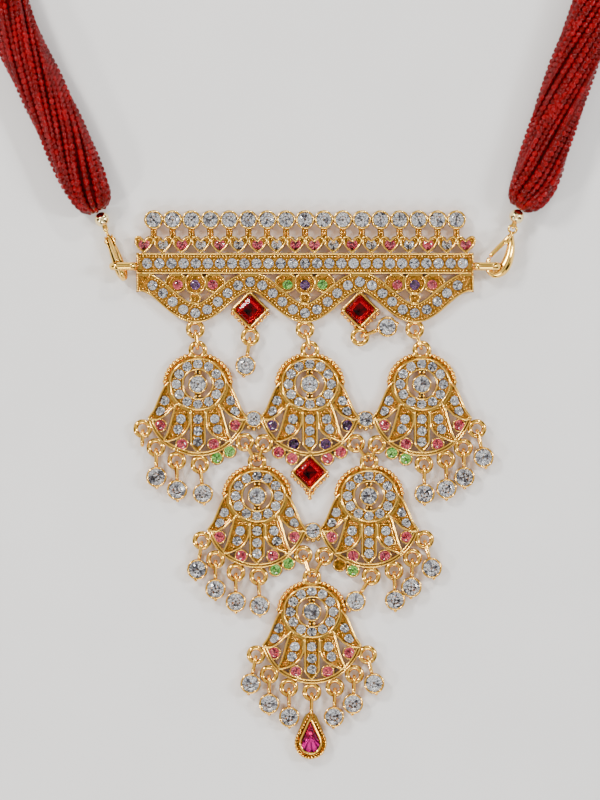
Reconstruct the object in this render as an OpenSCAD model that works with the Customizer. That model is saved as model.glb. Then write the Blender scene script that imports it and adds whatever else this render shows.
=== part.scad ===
// Rani haar necklace, lying flat with its front up.
// The origin is at the flat back of the plate, under the middle of its bar.
// +X is the wearer's left, +Y is towards the neck, +Z is away from the surface.

/* [Plate] */
// Length of the straight bar
bar_l = 84.2; // [82:0.2:86]
// Width of the straight bar
bar_w = 5.3; // [5.1:0.1:5.6]
// Metal left under a stone's seat
back_t = 0.65; // [0.5:0.05:0.8]
// Thickness of the cast metal up to the ground of the relief
cast_t = 1.7; // [1.6:0.05:1.9]
// Height of the raised rims over the ground
rim_h = 0.65; // [0.4:0.05:0.9]
// Width of a raised rim
rim_w = 0.45; // [0.4:0.05:0.5]
// Height of the top row's centres over the bar's centre line
top_row_y = 10.9; // [10.8:0.1:11.2]
// Height of a heart
heart_h = 4.5; // [4.4:0.1:4.8]
// Width of a stem between two hearts
stem_w = 1.6; // [1.2:0.1:1.8]
// Width of the wave band
wave_w = 4.9; // [4.7:0.1:5.1]
// Rise of the wave from its middle line to a crest
wave_rise = 3.9; // [3.7:0.1:4]
// Distance from the bar's centre line down to the wave's middle line
wave_y = 8.5; // [8.3:0.1:8.6]
// Half diagonal of a diamond setting
diamond_r = 4.9; // [4.8:0.1:5.1]
// Length of a side ring
side_ring_l = 6.6; // [6.4:0.1:6.8]
// Height of a side ring
side_ring_h = 5.4; // [5.3:0.1:5.6]
// Breadth of a side ring's band
side_ring_b = 1.5; // [1.3:0.1:1.7]

/* [Stones] */
// Diameter of a stone in the top row
top_stone_d = 3.6; // [3.2:0.1:3.9]
// Diameter of a clear stone in a heart
heart_stone_d = 2.5; // [2.2:0.1:2.6]
// Diameter of a pink stone in a heart
heart_pink_d = 2.7; // [2.4:0.1:2.8]
// Diameter of a stone in the bar
bar_stone_d = 2.5; // [2.2:0.1:2.8]
// Diameter of a stone in the wave
wave_stone_d = 2.4; // [2.2:0.1:2.4]
// Diameter of a trefoil's stone
trefoil_stone_d = 2.5; // [2.2:0.1:2.7]
// Half diagonal of a square red stone
ruby_r = 4.1; // [3.9:0.1:4.2]
// Diameter of a bell's centre stone
centre_stone_d = 3.9; // [3.6:0.1:4]
// Diameter of the stone that joins two bells
joint_stone_d = 3.4; // [3.1:0.1:3.5]
// Diameter of a coloured stone in a bell
cell_stone_d = 2.6; // [2.3:0.1:2.7]
// Diameter of a round drop's stone
drop_stone_d = 4.1; // [3.8:0.1:4.2]
// Width of the pear stone
pear_stone_w = 4.6; // [4.2:0.1:4.8]
// Height of the pear stone
pear_stone_h = 8.2; // [7.8:0.1:8.6]

/* [Bells] */
// Width of a bell's disc
disc_w = 14.4; // [14.2:0.1:14.8]
// Height of a bell's disc
disc_h = 13.2; // [13:0.1:13.6]
// Diameter of the open hole round the centre stone
disc_hole_d = 7; // [6.9:0.1:7.1]
// Diameter of the centre stone's bezel
centre_bezel_d = 4.8; // [4.7:0.1:5]
// Width of the beaded shield behind the disc
shield_w = 17.2; // [17:0.1:17.6]
// Height of the beaded shield behind the disc
shield_h = 15.6; // [15.4:0.1:16]
// Radius of the bell's lower rim
skirt_r = 13; // [12.9:0.1:13.2]
// Distance from the disc's centre down to the lower rim's centre
skirt_drop = 5; // [4.9:0.1:5.1]
// Width of the lower rim's band
skirt_band = 1.2; // [1.1:0.1:1.4]
// Width of the middle column
column_w = 4; // [3.8:0.1:4.2]
// Diameter of a bezel in a bell's cell
cell_bezel_d = 3.4; // [3.3:0.1:3.6]
// Diameter of the bezel that joins two bells
joint_bezel_d = 4.2; // [4.1:0.1:4.4]

/* [Loops and links] */
// Outer diameter of a loop
loop_d = 4.6; // [4.5:0.1:4.7]
// Diameter of a loop's hole
loop_hole_d = 2.7; // [2.6:0.1:2.8]
// Thickness of a loop
loop_t = 0.9; // [0.7:0.1:0.9]
// Wire diameter of the links and bails
link_wire = 0.8; // [0.7:0.05:0.85]
// Free height inside a link or bail
link_room = 1.4; // [1.35:0.05:1.5]
// Distance between the holes that a plate link joins
plate_link_l = 5.2; // [5.1:0.1:5.6]
// Distance from the first row of bells to the second
row_step_1 = 27.9; // [27.8:0.1:28.3]
// Distance from the second row of bells to the third
row_step_2 = 28.9; // [28.8:0.1:29.3]

/* [Drops] */
// Diameter of a round drop's bezel
drop_d = 5.1; // [4.9:0.1:5.1]
// Distance from a loop's hole to the drop's centre
drop_l = 7.3; // [7.2:0.1:7.6]
// Height of a drop's bezel
drop_h = 2.8; // [2.6:0.1:3]
// Metal round the pear stone
pear_border = 1.7; // [1.5:0.1:1.8]
// Distance from the last loop's hole to the pear's centre
pear_l = 10.9; // [10.8:0.1:11.4]

/* [Clasps] */
// Outer radius of the clasp's bow
bow_r = 2.9; // [2.85:0.05:3]
// Inner radius of the clasp's bow
bow_in_r = 1.6; // [1.55:0.05:1.65]
// Distance from the clasp's eye to the middle of its bow
clasp_l = 9.9; // [9.8:0.1:10.2]
// Thickness of the clasp at its spine and cheeks
clasp_t = 2.6; // [2.4:0.1:2.8]
// Thickness of the clasp's hook
hook_t = 1.4; // [1.2:0.1:1.5]
// Thickness of the lever
lever_t = 1; // [0.9:0.1:1.1]
// Diameter of the lever's pin
pin_d = 0.8; // [0.7:0.05:0.9]
// Outer diameter of the clasp's eye
eye_d = 2.4; // [2.3:0.1:2.5]
// Diameter of an end bead
end_bead_d = 3.6; // [3.4:0.1:3.6]

/* [Strands] */
// Width of the bundle of strands
bundle_w = 12.4; // [11.6:0.2:13.2]
// Height of the bundle of strands
bundle_h = 11; // [10.4:0.2:12]

/* [Hidden] */
TOP_STONES = 17;
HEARTS = 18;
BAR_STONES = 27;
WAVES = 3;
STONES_A_WAVE = 10;
RING_STONES = 12;
BELLS = [3, 2, 1];

// Clearances and overlaps
solder = 0.25;
seat_gap = 0.06;
culet_gap = 0.08;
pin_gap = 0.04;
slot_gap = 0.15;
gate_gap = 0.15;
rim_inset = 0.04;
bundle_gap = 0.2;
cut = 0.1;

// How far neighbours run into each other where they are cast in one
heart_lap = 0.15;
bezel_lap = 0.08;
petal_lap = 0.35;
tip_lap = 0.3;
diamond_lap = 0.35;
trough_loop_lap = 0.7;
diamond_loop_lap = 0.5;
top_loop_lap = 1.6;
joint_lap = 0.6;
gem_lap = 0.6;
low_diamond_lap = 0.9;

// Derived from the bar's length
hearts_overhang = 0.425;
bar_end = 2.7;
wave_end = 1;
heart_pitch = (bar_l + 2 * hearts_overhang) / HEARTS;
heart_w = heart_pitch + heart_lap;
top_bezel_d = heart_pitch + bezel_lap;
heart_y = bar_w / 2 - solder + heart_h / 2;
heart_stone_rise = 0.05;
heart_stone_y = heart_y + heart_stone_rise;
bar_stone_pitch = (bar_l - 2 * bar_end) / (BAR_STONES - 1);
wave_pitch = (bar_l - 2 * wave_end) / WAVES;
wave_stone_pitch = wave_pitch / STONES_A_WAVE;
wave_stone_lean = 0.27;
wave_stones = WAVES * STONES_A_WAVE - 1;
trough_y = -wave_y - wave_rise;
crest_y = -wave_y + wave_rise;
diamond_y = crest_y - wave_w / 2 - diamond_r + diamond_lap;
loop_r = loop_d / 2;
loop_z = cast_t;
trough_loop_y = trough_y - wave_w / 2 - loop_r + trough_loop_lap;
diamond_loop_y = diamond_y - diamond_r - loop_r + diamond_loop_lap;
side_ring_y = -0.8;
side_ring_t = 0.8;
side_ring_low = 1.7;
side_ring_z = side_ring_h / 2 + side_ring_low;
side_ring_corner = 1.8;
side_ring_x = bar_l / 2 + side_ring_l / 2 - solder;

// The trefoils' petals hang from the bar's lower edge
petal_h = 5.1;
petal_w = 5.8;
petal_x = 4.7;
petal_turn = 8;
petal_y = -bar_w / 2 - petal_h / 2 + petal_lap;
arch_w = 5.4;
arch_h = 5.8;
arch_drop = 0.1;
tip_w = 2.9;
tip_h = trefoil_gap() + 2 * tip_lap;
tip_y = petal_y - petal_h / 2 - trefoil_gap() / 2;
trefoil_stone_drop = 2.7;
trefoil_stone_y = -bar_w / 2 - trefoil_stone_drop;
trefoil_side_x = 4.35;

// Places in a bell, measured from its disc's centre
wing_tip = [0.96, -0.66] * skirt_r;
joint_drop = 0.1;
joint_y = wing_tip[1] - joint_drop;
bell_pitch = 2 * wing_tip[0] + joint_bezel_d - 2 * joint_lap;
loop_rise = shield_h / 2 + loop_r - top_loop_lap;
ring_stone_d = 2;
ring_rx = (disc_w + disc_hole_d) / 4;
ring_ry = (disc_h + disc_hole_d) / 4;
loop_reach = skirt_r + loop_r - solder;
gem_wall = 0.5;
gem_bezel_d = cell_stone_d + 2 * gem_wall;
gem_reach = skirt_r + gem_bezel_d / 2 - gem_lap;
cell_outer = [0.72, -0.79] * skirt_r;
cell_inner = [0.305, -1.15] * skirt_r;

// Rows of bells: how far each row's middle has drifted along X, and its discs' height
row_x = [1.2, 2, 1.7];
row_1_y = trough_loop_y - plate_link_l - loop_rise;
row_y = [row_1_y, row_1_y - row_step_1, row_1_y - row_step_1 - row_step_2];

// What sits round the rim of each bell, at angles from straight down.
// Kinds: 0 loop, 1 green, 2 pink, 3 empty setting, 4 red diamond
RIMS = [
    [[[-66, 0], [-44, 0], [-20.5, 0], [2, 0], [19.5, 1], [34, 1], [51, 0]],
     [[-49.5, 0], [-33, 2], [-18, 2], [0, 4], [18, 2], [33, 2], [49.5, 0]],
     [[-48, 0], [-31.5, 1], [-16.5, 1], [2, 0], [23.5, 0], [43.5, 0], [66, 0]]],
    [[[-66, 0], [-43.5, 0], [-20.5, 0], [1.5, 0], [19, 1], [33.5, 1], [50, 0]],
     [[-48, 0], [-31, 3], [-16.5, 1], [2, 0], [24.5, 0], [46, 0], [67, 0]]],
    [[[-67.5, 0], [-45, 0], [-22.5, 0], [0, 0], [22.5, 0], [45, 0], [67.5, 0]]]
];
// Rows whose bells have violet stones in their cells: row and bell
VIOLET_BELL = [0, 1];

// One drop of the second row leans against the shield of the third
lean_gap = 0.3;
lean_share = 0.94;
lean_x = row_x[2] + lean_share * shield_w / 2 + drop_d / 2 + lean_gap;
lean_swing = asin((lean_x - rim_loop(1, 1, 3)[0]) / drop_l);

// Round drops under the bells: row, bell, place on the rim, swing from straight down
RIM_DROPS = [
    [0, 0, 1, 1], [0, 0, 2, 1], [0, 0, 3, 6],
    [0, 2, 3, 1], [0, 2, 4, 1], [0, 2, 5, 2], [0, 2, 6, 13],
    [1, 0, 0, -9], [1, 0, 1, 0], [1, 0, 2, 0], [1, 0, 3, 2],
    [1, 1, 3, lean_swing], [1, 1, 4, 2], [1, 1, 5, -2], [1, 1, 6, 14],
    [2, 0, 0, -11], [2, 0, 1, 0], [2, 0, 2, 1], [2, 0, 4, -2], [2, 0, 5, -3], [2, 0, 6, 13]
];
// Drops under the diamonds: side, swing
DIAMOND_DROPS = [[-1, -9], [1, 110]];
DROPS = len(RIM_DROPS) + len(DIAMOND_DROPS);

// Outlines of a bell's right half, as shares of skirt_r from the disc's centre
WING = [
    [0.52, 0.05], [0.61, 0.01], [0.68, -0.09], [0.765, -0.28], [0.85, -0.48], wing_tip / skirt_r,
    [0.83, -0.70], [0.72, -0.67], [0.60, -0.60], [0.50, -0.50], [0.40, -0.38]
];
PETAL = [
    [0.41, -0.36], [0.30, -0.40], [0.14, -0.45], [0.135, -0.66], [0.15, -0.80], [0.215, -0.92],
    [0.32, -1.01], [0.47, -1.08], [0.60, -1.115], [0.665, -1.08], [0.595, -0.93], [0.54, -0.75],
    [0.49, -0.57]
];

// Clasp: the plane of the bow, with the eye's centre at the origin and the bow at -Y
bow_x = -1.1;
neck = [0.15, -1.95];
neck_r = 0.95;
pivot = [-0.15, -2.35];
lever_r = 0.75;
lever_tip = [-2.72, -clasp_l + 2.6];
lever_tip_r = 0.48;
lever_swing = 16;
eye_hole_d = 1.4;
eye_t = 0.8;
eye_wire = 0.5;
bead_y = 3.3;

// Each clasp: its eye's centre, the turn of its long axis, and its roll about that axis
CLASP_LEFT = [[-bar_l / 2 - 7.4, 7.9, 1.86], 20.5, 90];
CLASP_RIGHT = [[bar_l / 2 + 9.65, 8.5, 3.5], -17.2, 0];

// Route of the bundle from the right end bead to the left one, over the back of the neck
BUNDLE_ROUTE = [
    [57.2, 20.5], [60, 29], [63.6, 40], [67.6, 51.5], [72, 63], [78, 80], [84, 102], [86.5, 126],
    [83.5, 150], [74, 171], [57, 187.5], [34, 197.5], [7, 201], [-20, 199.5], [-45, 192.5],
    [-66, 178.5], [-80.5, 159], [-87.5, 135], [-87, 110], [-82, 87], [-76, 68], [-71, 55],
    [-65.5, 43.5], [-60.3, 32.5], [-56.2, 23]
];
SUBSTEPS = 3;
BUNDLE_SIDES = 12;

GOLD = [0.86, 0.64, 0.24];
CLEAR = [0.88, 0.89, 0.92];
PINK = [0.86, 0.36, 0.48];
GREEN = [0.45, 0.72, 0.38];
VIOLET = [0.28, 0.16, 0.34];
RUBY = [0.70, 0.04, 0.07];
MAGENTA = [0.72, 0.12, 0.38];
BEAD_RED = [0.55, 0.02, 0.05];

LINKS = BELLS[0] + 2 * BELLS[1] + 2 * BELLS[2];

// Functions for places

function trefoil_gap() = (petal_y - petal_h / 2) - (trough_y + wave_w / 2);
function wave_at(x) = -wave_y - wave_rise * cos(360 * x / wave_pitch);
function wave_slope(x) = atan(wave_rise * 2 * PI / wave_pitch * sin(360 * x / wave_pitch));
function top_x(i) = (i - (TOP_STONES - 1) / 2) * heart_pitch;
function heart_x(i) = (i - (HEARTS - 1) / 2) * heart_pitch;
function is_pink(i) = (i < HEARTS / 2 ? i : HEARTS - 1 - i) % 2 == 0;
function bar_stone_x(i) = (i - (BAR_STONES - 1) / 2) * bar_stone_pitch;
function wave_stone_x(i) =
    let (k = i - (wave_stones - 1) / 2)
    k * wave_stone_pitch + wave_stone_lean * sin(720 * k / STONES_A_WAVE);
function trough_x(i) = (i - (WAVES - 1) / 2) * wave_pitch;
function bell_at(row, i) = [row_x[row] + (i - (BELLS[row] - 1) / 2) * bell_pitch, row_y[row]];
function rim_at(reach, a) = [reach * sin(a), -skirt_drop - reach * cos(a)];
function rim_loop(row, i, k) = bell_at(row, i) + rim_at(loop_reach, RIMS[row][i][k][0]);
function top_loop(row, i) = bell_at(row, i) + [0, loop_rise];
function rims_of(kind) = [
    for (row = [0:2], i = [0:BELLS[row] - 1], p = RIMS[row][i])
        if (p[1] == kind) bell_at(row, i) + rim_at(gem_reach, p[0])
];
function mirrored(points) = concat(points, [for (p = points) [-p[0], p[1]]]);
function cells_of(violet) = [
    for (row = [0:2], i = [0:BELLS[row] - 1], c = mirrored([cell_outer, cell_inner]))
        if (([row, i] == VIOLET_BELL) == violet) bell_at(row, i) + c
];
function trefoil_sides(i) = [for (s = [-1, 1]) [trough_x(i) + s * trefoil_side_x, trefoil_stone_y]];
function low_diamond() = [0, -skirt_drop - skirt_r - diamond_r + low_diamond_lap];
function ruby_centre_at() = bell_at(0, 1) + low_diamond();
function drop_at(i) =
    i < len(RIM_DROPS)
        ? let (d = RIM_DROPS[i]) [rim_loop(d[0], d[1], d[2]), d[3]]
        : let (d = DIAMOND_DROPS[i - len(RIM_DROPS)]) [[d[0] * wave_pitch / 2, diamond_loop_y], d[1]];
function turn(p, a) = [p[0] * cos(a) - p[1] * sin(a), p[0] * sin(a) + p[1] * cos(a)];

// Functions for outlines

function ellipse(rx, ry, n = 40) = [for (i = [0:n - 1]) [rx * cos(360 * i / n), ry * sin(360 * i / n)]];
function heart(w, h, n = 28) = [
    for (i = [0:n - 1])
        let (t = 360 * i / n)
        [w / 2 * sign(sin(t)) * pow(abs(sin(t)), 2.4),
         h / 29 * (13 * cos(t) - 5 * cos(2 * t) - 2 * cos(3 * t) - cos(4 * t) + 2.5)]
];
function pear(w, h, n = 12) =
    let (r = w / 2, cy = r - h / 2, open = asin(r / (h / 2 - cy)))
    concat(
        [[0, h / 2]],
        [for (i = [0:n]) let (a = open - i * (180 + 2 * open) / n) [r * cos(a), cy + r * sin(a)]]
    );
function square_cut(r, corner) = [
    for (i = [0:3], s = [-1, 1]) turn([r - corner, s * corner], 90 * i)
];
function round_cut(r, n = 8) = [for (i = [0:n - 1]) [r * cos(360 * i / n), r * sin(360 * i / n)]];

// Stones: a flat table, a crown, a girdle and a pavilion down to the culet at z = 0

function lifted(outline, k, z) = [for (p = outline) [k * p[0], k * p[1], z]];

module gem(outline, d, table = 0.58) {
    n = len(outline);
    pavilion = 0.36 * d;
    girdle = 0.05 * d;
    crown = 0.14 * d;
    points = concat(
        [[0, 0, 0]],
        lifted(outline, 1, pavilion),
        lifted(outline, 1, pavilion + girdle),
        lifted(outline, table, pavilion + girdle + crown)
    );
    wall = [
        for (k = [0, 1], i = [0:n - 1])
            let (a = 1 + k * n + i, b = 1 + k * n + (i + 1) % n)
            [a, a + n, b + n, b]
    ];
    pavilion_faces = [for (i = [0:n - 1]) [0, 1 + i, 1 + (i + 1) % n]];
    table_face = [[for (i = [0:n - 1]) 1 + 2 * n + (n - 1 - i)]];
    polyhedron(points, concat(pavilion_faces, wall, table_face));
}

// A stone stands with its culet just over the floor of its seat
module round_stones(places, d) {
    for (p = places)
        translate([p[0], p[1], back_t + culet_gap]) rotate(11) gem(round_cut(d / 2), d);
}

function bezel_top(d) = back_t + culet_gap + 0.41 * d + 0.3;

// Shared metal shapes

module ring_2d(d, hole_d) {
    difference() {
        circle(d = d, $fn = 32);
        circle(d = hole_d, $fn = 32);
    }
}

// Raised rim along the inside of an outline
module rim_2d() {
    difference() {
        offset(delta = -rim_inset) children();
        offset(delta = -rim_inset - rim_w) children();
    }
}

module layer(z0, z1) {
    translate([0, 0, z0]) linear_extrude(z1 - z0) offset(delta = 0) children();
}

module raised(z1) {
    layer(cast_t - cut, z1) children();
}

module seats(places, d) {
    for (p = places)
        translate([p[0], p[1], back_t]) cylinder(h = 2 * cast_t, d = d + 2 * seat_gap, $fn = 32);
}

// A bezel's wall is raised solid here, and its seat cuts it open
module bezels(places, d, stone_d) {
    for (p = places)
        translate([p[0], p[1], cast_t - cut])
            cylinder(h = bezel_top(stone_d) - cast_t + cut, d = d - 2 * rim_inset, $fn = 32);
}

// Loops lie in the plane of the casting, clear of the surface below
module loops(places) {
    for (p = places)
        translate([p[0], p[1], loop_z - loop_t / 2]) cylinder(h = loop_t, d = loop_d, $fn = 40);
}

module loop_holes(places) {
    for (p = places)
        translate([p[0], p[1], -cut]) cylinder(h = 3 * cast_t, d = loop_hole_d, $fn = 32);
}

// A closed link seen from the side: a stadium of wire from y = 0 down to y = -l, centred on z = 0
module stadium_link(l, room = link_room, wire = link_wire) {
    r = (room + wire) / 2;
    for (s = [0, 1])
        translate([0, -s * l, 0]) rotate([0, 90, 180 * s])
            rotate_extrude(angle = 180, $fn = 48) translate([r, 0]) circle(d = wire, $fn = 24);
    for (s = [-1, 1])
        translate([0, 0, s * r]) rotate([90, 0, 0]) cylinder(h = l, d = wire, $fn = 24);
}

// A link's end stands in a hole: its wire is held this far from the hole's centre
end_reach = 1.6;

// Link through the holes at a and b
module link_between(a, b) {
    d = b - a;
    l = norm(d);
    translate([a[0], a[1], loop_z]) rotate(atan2(d[1], d[0]) + 90)
        translate([0, -end_reach, 0]) stadium_link(l - 2 * end_reach);
}

// Plate

module wave_2d(width) {
    steps = 90;
    l = bar_l + wave_w;
    xs = [for (i = [0:steps]) l * (i / steps - 0.5)];
    edge = function (s, x) [x - s * width / 2 * sin(wave_slope(x)), wave_at(x) + s * width / 2 * cos(wave_slope(x))];
    intersection() {
        polygon(concat([for (x = xs) edge(1, x)], [for (i = [0:steps]) edge(-1, xs[steps - i])]));
        square([bar_l, 60], center = true);
    }
}

module bar_2d() {
    square([bar_l, bar_w], center = true);
}

module side_petal_2d(s) {
    translate([s * petal_x, petal_y]) rotate(-s * petal_turn) polygon(ellipse(petal_w / 2, petal_h / 2, 28));
}

module arch_2d() {
    translate([0, petal_y - arch_drop]) polygon(ellipse(arch_w / 2, arch_h / 2, 28));
}

module tip_2d() {
    translate([0, tip_y]) polygon(ellipse(tip_w / 2, tip_h / 2, 20));
}

module diamond_2d(r = diamond_r) {
    rotate(45) square(r * sqrt(2), center = true);
}

module each_trough() {
    for (i = [0:WAVES - 1]) translate([trough_x(i), 0]) children();
}

module each_diamond() {
    for (s = [-1, 1]) translate([s * wave_pitch / 2, diamond_y]) children();
}

plate_loops = concat(
    [for (i = [0:WAVES - 1]) [trough_x(i), trough_loop_y]],
    [for (s = [-1, 1]) [s * wave_pitch / 2, diamond_loop_y]]
);
top_places = [for (i = [0:TOP_STONES - 1]) [top_x(i), top_row_y]];
heart_places_clear = [for (i = [0:HEARTS - 1]) if (!is_pink(i)) [heart_x(i), heart_stone_y]];
heart_places_pink = [for (i = [0:HEARTS - 1]) if (is_pink(i)) [heart_x(i), heart_stone_y]];
bar_places = [for (i = [0:BAR_STONES - 1]) [bar_stone_x(i), 0]];
wave_places = [for (i = [0:wave_stones - 1]) [wave_stone_x(i), wave_at(wave_stone_x(i))]];
trefoil_side_places = [for (i = [0:WAVES - 1], p = trefoil_sides(i)) p];
trefoil_mid_places = [for (i = [0:WAVES - 1]) [trough_x(i), trefoil_stone_y]];

stem_foot = 1;
top_bezel_step = 0.1;

module plate_2d() {
    bar_2d();
    wave_2d(wave_w);
    for (p = top_places) translate(p) circle(d = top_bezel_d, $fn = 32);
    for (p = top_places) {
        stem_low = heart_y + stem_foot;
        translate([p[0] - stem_w / 2, stem_low]) square([stem_w, top_row_y - stem_low]);
    }
    for (i = [0:HEARTS - 1]) translate([heart_x(i), heart_y]) polygon(heart(heart_w, heart_h));
    each_trough() {
        for (s = [-1, 1]) side_petal_2d(s);
        arch_2d();
        tip_2d();
    }
    each_diamond() diamond_2d();
}

module plate_rims_2d() {
    rim_2d() bar_2d();
    rim_2d() difference() {
        wave_2d(wave_w);
        bar_2d();
    }
    for (i = [0:HEARTS - 1]) translate([heart_x(i), heart_y]) rim_2d() polygon(heart(heart_w, heart_h));
    each_trough() {
        for (s = [-1, 1])
            rim_2d() difference() {
                side_petal_2d(s);
                arch_2d();
                bar_2d();
            }
        rim_2d() difference() {
            arch_2d();
            bar_2d();
        }
        rim_2d() tip_2d();
    }
}

module side_ring_2d(inset) {
    offset(r = side_ring_corner - inset, $fn = 32)
        square([side_ring_l - 2 * side_ring_corner, side_ring_h - 2 * side_ring_corner], center = true);
}

module side_rings() {
    for (s = [-1, 1])
        translate([s * side_ring_x, side_ring_y, side_ring_z]) rotate([90, 0, 0])
            linear_extrude(side_ring_b, center = true) difference() {
                side_ring_2d(0);
                side_ring_2d(side_ring_t);
            }
}

module plate() {
    color(GOLD) union() {
        difference() {
            union() {
                layer(0, cast_t) plate_2d();
                raised(cast_t + rim_h) plate_rims_2d();
                raised(bezel_top(ruby_r)) each_diamond() diamond_2d(diamond_r - rim_inset);
                bezels(top_places, top_bezel_d - top_bezel_step, top_stone_d);
                loops(plate_loops);
            }
            seats(top_places, top_stone_d);
            seats(heart_places_clear, heart_stone_d);
            seats(heart_places_pink, heart_pink_d);
            seats(bar_places, bar_stone_d);
            seats(wave_places, wave_stone_d);
            seats(concat(trefoil_side_places, trefoil_mid_places), trefoil_stone_d);
            loop_holes(plate_loops);
            for (s = [-1, 1])
                translate([s * wave_pitch / 2, diamond_y, back_t]) ruby_seat();
        }
        side_rings();
        end_blocks();
    }
}

// Solid lugs that carry the side rings up from the bar's ends
lug_l = 1.6;
lug_top = 3.3;

module end_blocks() {
    for (s = [-1, 1])
        translate([s * (bar_l / 2 - lug_l / 2 + solder), side_ring_y, (cast_t - cut + lug_top) / 2])
            cube([lug_l, side_ring_b, lug_top - cast_t + cut], center = true);
}

module ruby_seat() {
    linear_extrude(3 * cast_t) diamond_2d(ruby_r + 1.5 * seat_gap);
}

ruby_corner = 0.22;
ruby_depth = 1.15;
ruby_table = 0.52;

module ruby_at(p) {
    color(RUBY) translate([p[0], p[1], back_t + culet_gap])
        gem(square_cut(ruby_r, ruby_corner), ruby_r * ruby_depth, ruby_table);
}

// Bells

shield_low = 2;
soft_r = 0.3;
column_point = 2.3;
column_low = 0.7;
post_w = 0.55;
post_x = 0.5;

module shield_2d() {
    intersection() {
        polygon(ellipse(shield_w / 2, shield_h / 2, 56));
        translate([-shield_w, -shield_low]) square([2 * shield_w, shield_h]);
    }
}

module disc_2d() {
    polygon(ellipse(disc_w / 2, disc_h / 2, 48));
}

module soft_2d(r) {
    offset(r = r, $fn = 16) offset(delta = -r) children();
}

module outline_2d(table) {
    soft_2d(soft_r) polygon(table * skirt_r);
}

module column_2d() {
    w = column_w / 2;
    top = -disc_h / 2 + 1;
    low = -skirt_drop - skirt_r + column_low;
    shoulder = low + column_point;
    polygon([[w, top], [w, shoulder], [0, low], [-w, shoulder], [-w, top]]);
}

module skirt_2d() {
    intersection() {
        translate([0, -skirt_drop]) difference() {
            circle(r = skirt_r, $fn = 96);
            circle(r = skirt_r - skirt_band, $fn = 96);
        }
        translate([-2 * skirt_r, wing_tip[1] - 2 * skirt_r]) square([4 * skirt_r, 2 * skirt_r]);
    }
}

module both_sides() {
    children();
    mirror([1, 0]) children();
}

module bell_2d() {
    shield_2d();
    disc_2d();
    skirt_2d();
    column_2d();
    both_sides() {
        outline_2d(WING);
        outline_2d(PETAL);
        for (c = [cell_outer, cell_inner]) translate(c) circle(d = cell_bezel_d, $fn = 24);
    }
}

module bell_rims_2d() {
    rim_2d() disc_2d();
    rim_2d() column_2d();
    difference() {
        rim_2d() skirt_2d();
        column_2d();
    }
    both_sides() {
        rim_2d() difference() {
            outline_2d(WING);
            disc_2d();
        }
        rim_2d() difference() {
            outline_2d(PETAL);
            disc_2d();
            column_2d();
        }
    }
    ring_2d(disc_hole_d + 2 * rim_w, disc_hole_d + 2 * rim_inset);
}

// The centre stone's bezel stands in the open hole on two pairs of short posts
module bell_heart_2d() {
    circle(d = centre_bezel_d, $fn = 32);
    for (a = [0, 180], s = [-1, 1])
        rotate(a) translate([s * post_x, (centre_bezel_d + disc_hole_d) / 4])
            square([post_w, (disc_hole_d - centre_bezel_d) / 2 + 2 * solder], center = true);
}

function of_kind(row, i, kind) = [for (p = RIMS[row][i]) if (p[1] == kind) p[0]];

// The top loop, and one at each place of the rim that holds one
function bell_loops(row, i) = concat(
    [[0, loop_rise]],
    [for (a = of_kind(row, i, 0)) rim_at(loop_reach, a)]
);
function bell_gems(row, i) = [for (kind = [1:3], a = of_kind(row, i, kind)) rim_at(gem_reach, a)];

function ring_stone_places() = [
    for (k = [0:RING_STONES - 1])
        let (a = 360 * k / RING_STONES)
        [ring_rx * cos(a), ring_ry * sin(a)]
];
// The column's three stones, then those of the right wing and petal, as shares of skirt_r
COLUMN_PAVE = [-0.673, -0.9, -1.108];
SIDE_PAVE = [[0.635, -0.315], [0.715, -0.52], [0.325, -0.67], [0.38, -0.865]];
function pave_places() = concat(
    ring_stone_places(),
    [for (y = COLUMN_PAVE) [0, y * skirt_r]],
    mirrored(SIDE_PAVE * skirt_r)
);
cell_places = mirrored([cell_outer, cell_inner]);

function bell_diamonds(row, i) = [for (a = of_kind(row, i, 4)) low_diamond()];
function joint_places(row) = [
    for (i = [0:1:BELLS[row] - 2]) bell_at(row, i) + [bell_pitch / 2, joint_y]
];

module bell_base_2d(row, i) {
    difference() {
        union() {
            bell_2d();
            for (p = bell_gems(row, i)) translate(p) circle(d = gem_bezel_d, $fn = 24);
            for (p = bell_diamonds(row, i)) translate(p) diamond_2d();
        }
        circle(d = disc_hole_d, $fn = 40);
    }
    bell_heart_2d();
}

module bell_bezels(row, i) {
    bezels([[0, 0]], centre_bezel_d, centre_stone_d);
    bezels(concat(cell_places, bell_gems(row, i)), cell_bezel_d, cell_stone_d);
    loops(bell_loops(row, i));
}

module bell_seats(row, i) {
    seats([[0, 0]], centre_stone_d);
    seats(concat(cell_places, bell_gems(row, i)), cell_stone_d);
    seats(pave_places(), ring_stone_d);
    loop_holes(bell_loops(row, i));
    for (p = bell_diamonds(row, i)) translate([p[0], p[1], back_t]) ruby_seat();
}

module casting(row) {
    joints = joint_places(row);
    bells = [0:BELLS[row] - 1];
    color(GOLD) difference() {
        union() {
            layer(0, cast_t) {
                for (i = bells) translate(bell_at(row, i)) bell_base_2d(row, i);
                for (p = joints) translate(p) {
                    circle(d = joint_bezel_d, $fn = 32);
                    joint_grains_2d();
                }
            }
            raised(cast_t + rim_h) for (i = bells) translate(bell_at(row, i)) bell_rims_2d();
            for (i = bells, p = bell_diamonds(row, i))
                raised(bezel_top(ruby_r)) translate(bell_at(row, i) + p) diamond_2d(diamond_r - rim_inset);
            for (i = bells) translate(bell_at(row, i)) bell_bezels(row, i);
            bezels(joints, joint_bezel_d, joint_stone_d);
        }
        for (i = bells) translate(bell_at(row, i)) bell_seats(row, i);
        seats(joints, joint_stone_d);
    }
}

// Small lobes under the stone that joins two bells
grain_d = 1.15;
grain_step = 32;

module joint_grains_2d() {
    for (k = [-2:2])
        rotate(k * grain_step) translate([0, -joint_bezel_d / 2 - grain_d / 4]) circle(d = grain_d, $fn = 16);
}

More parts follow.
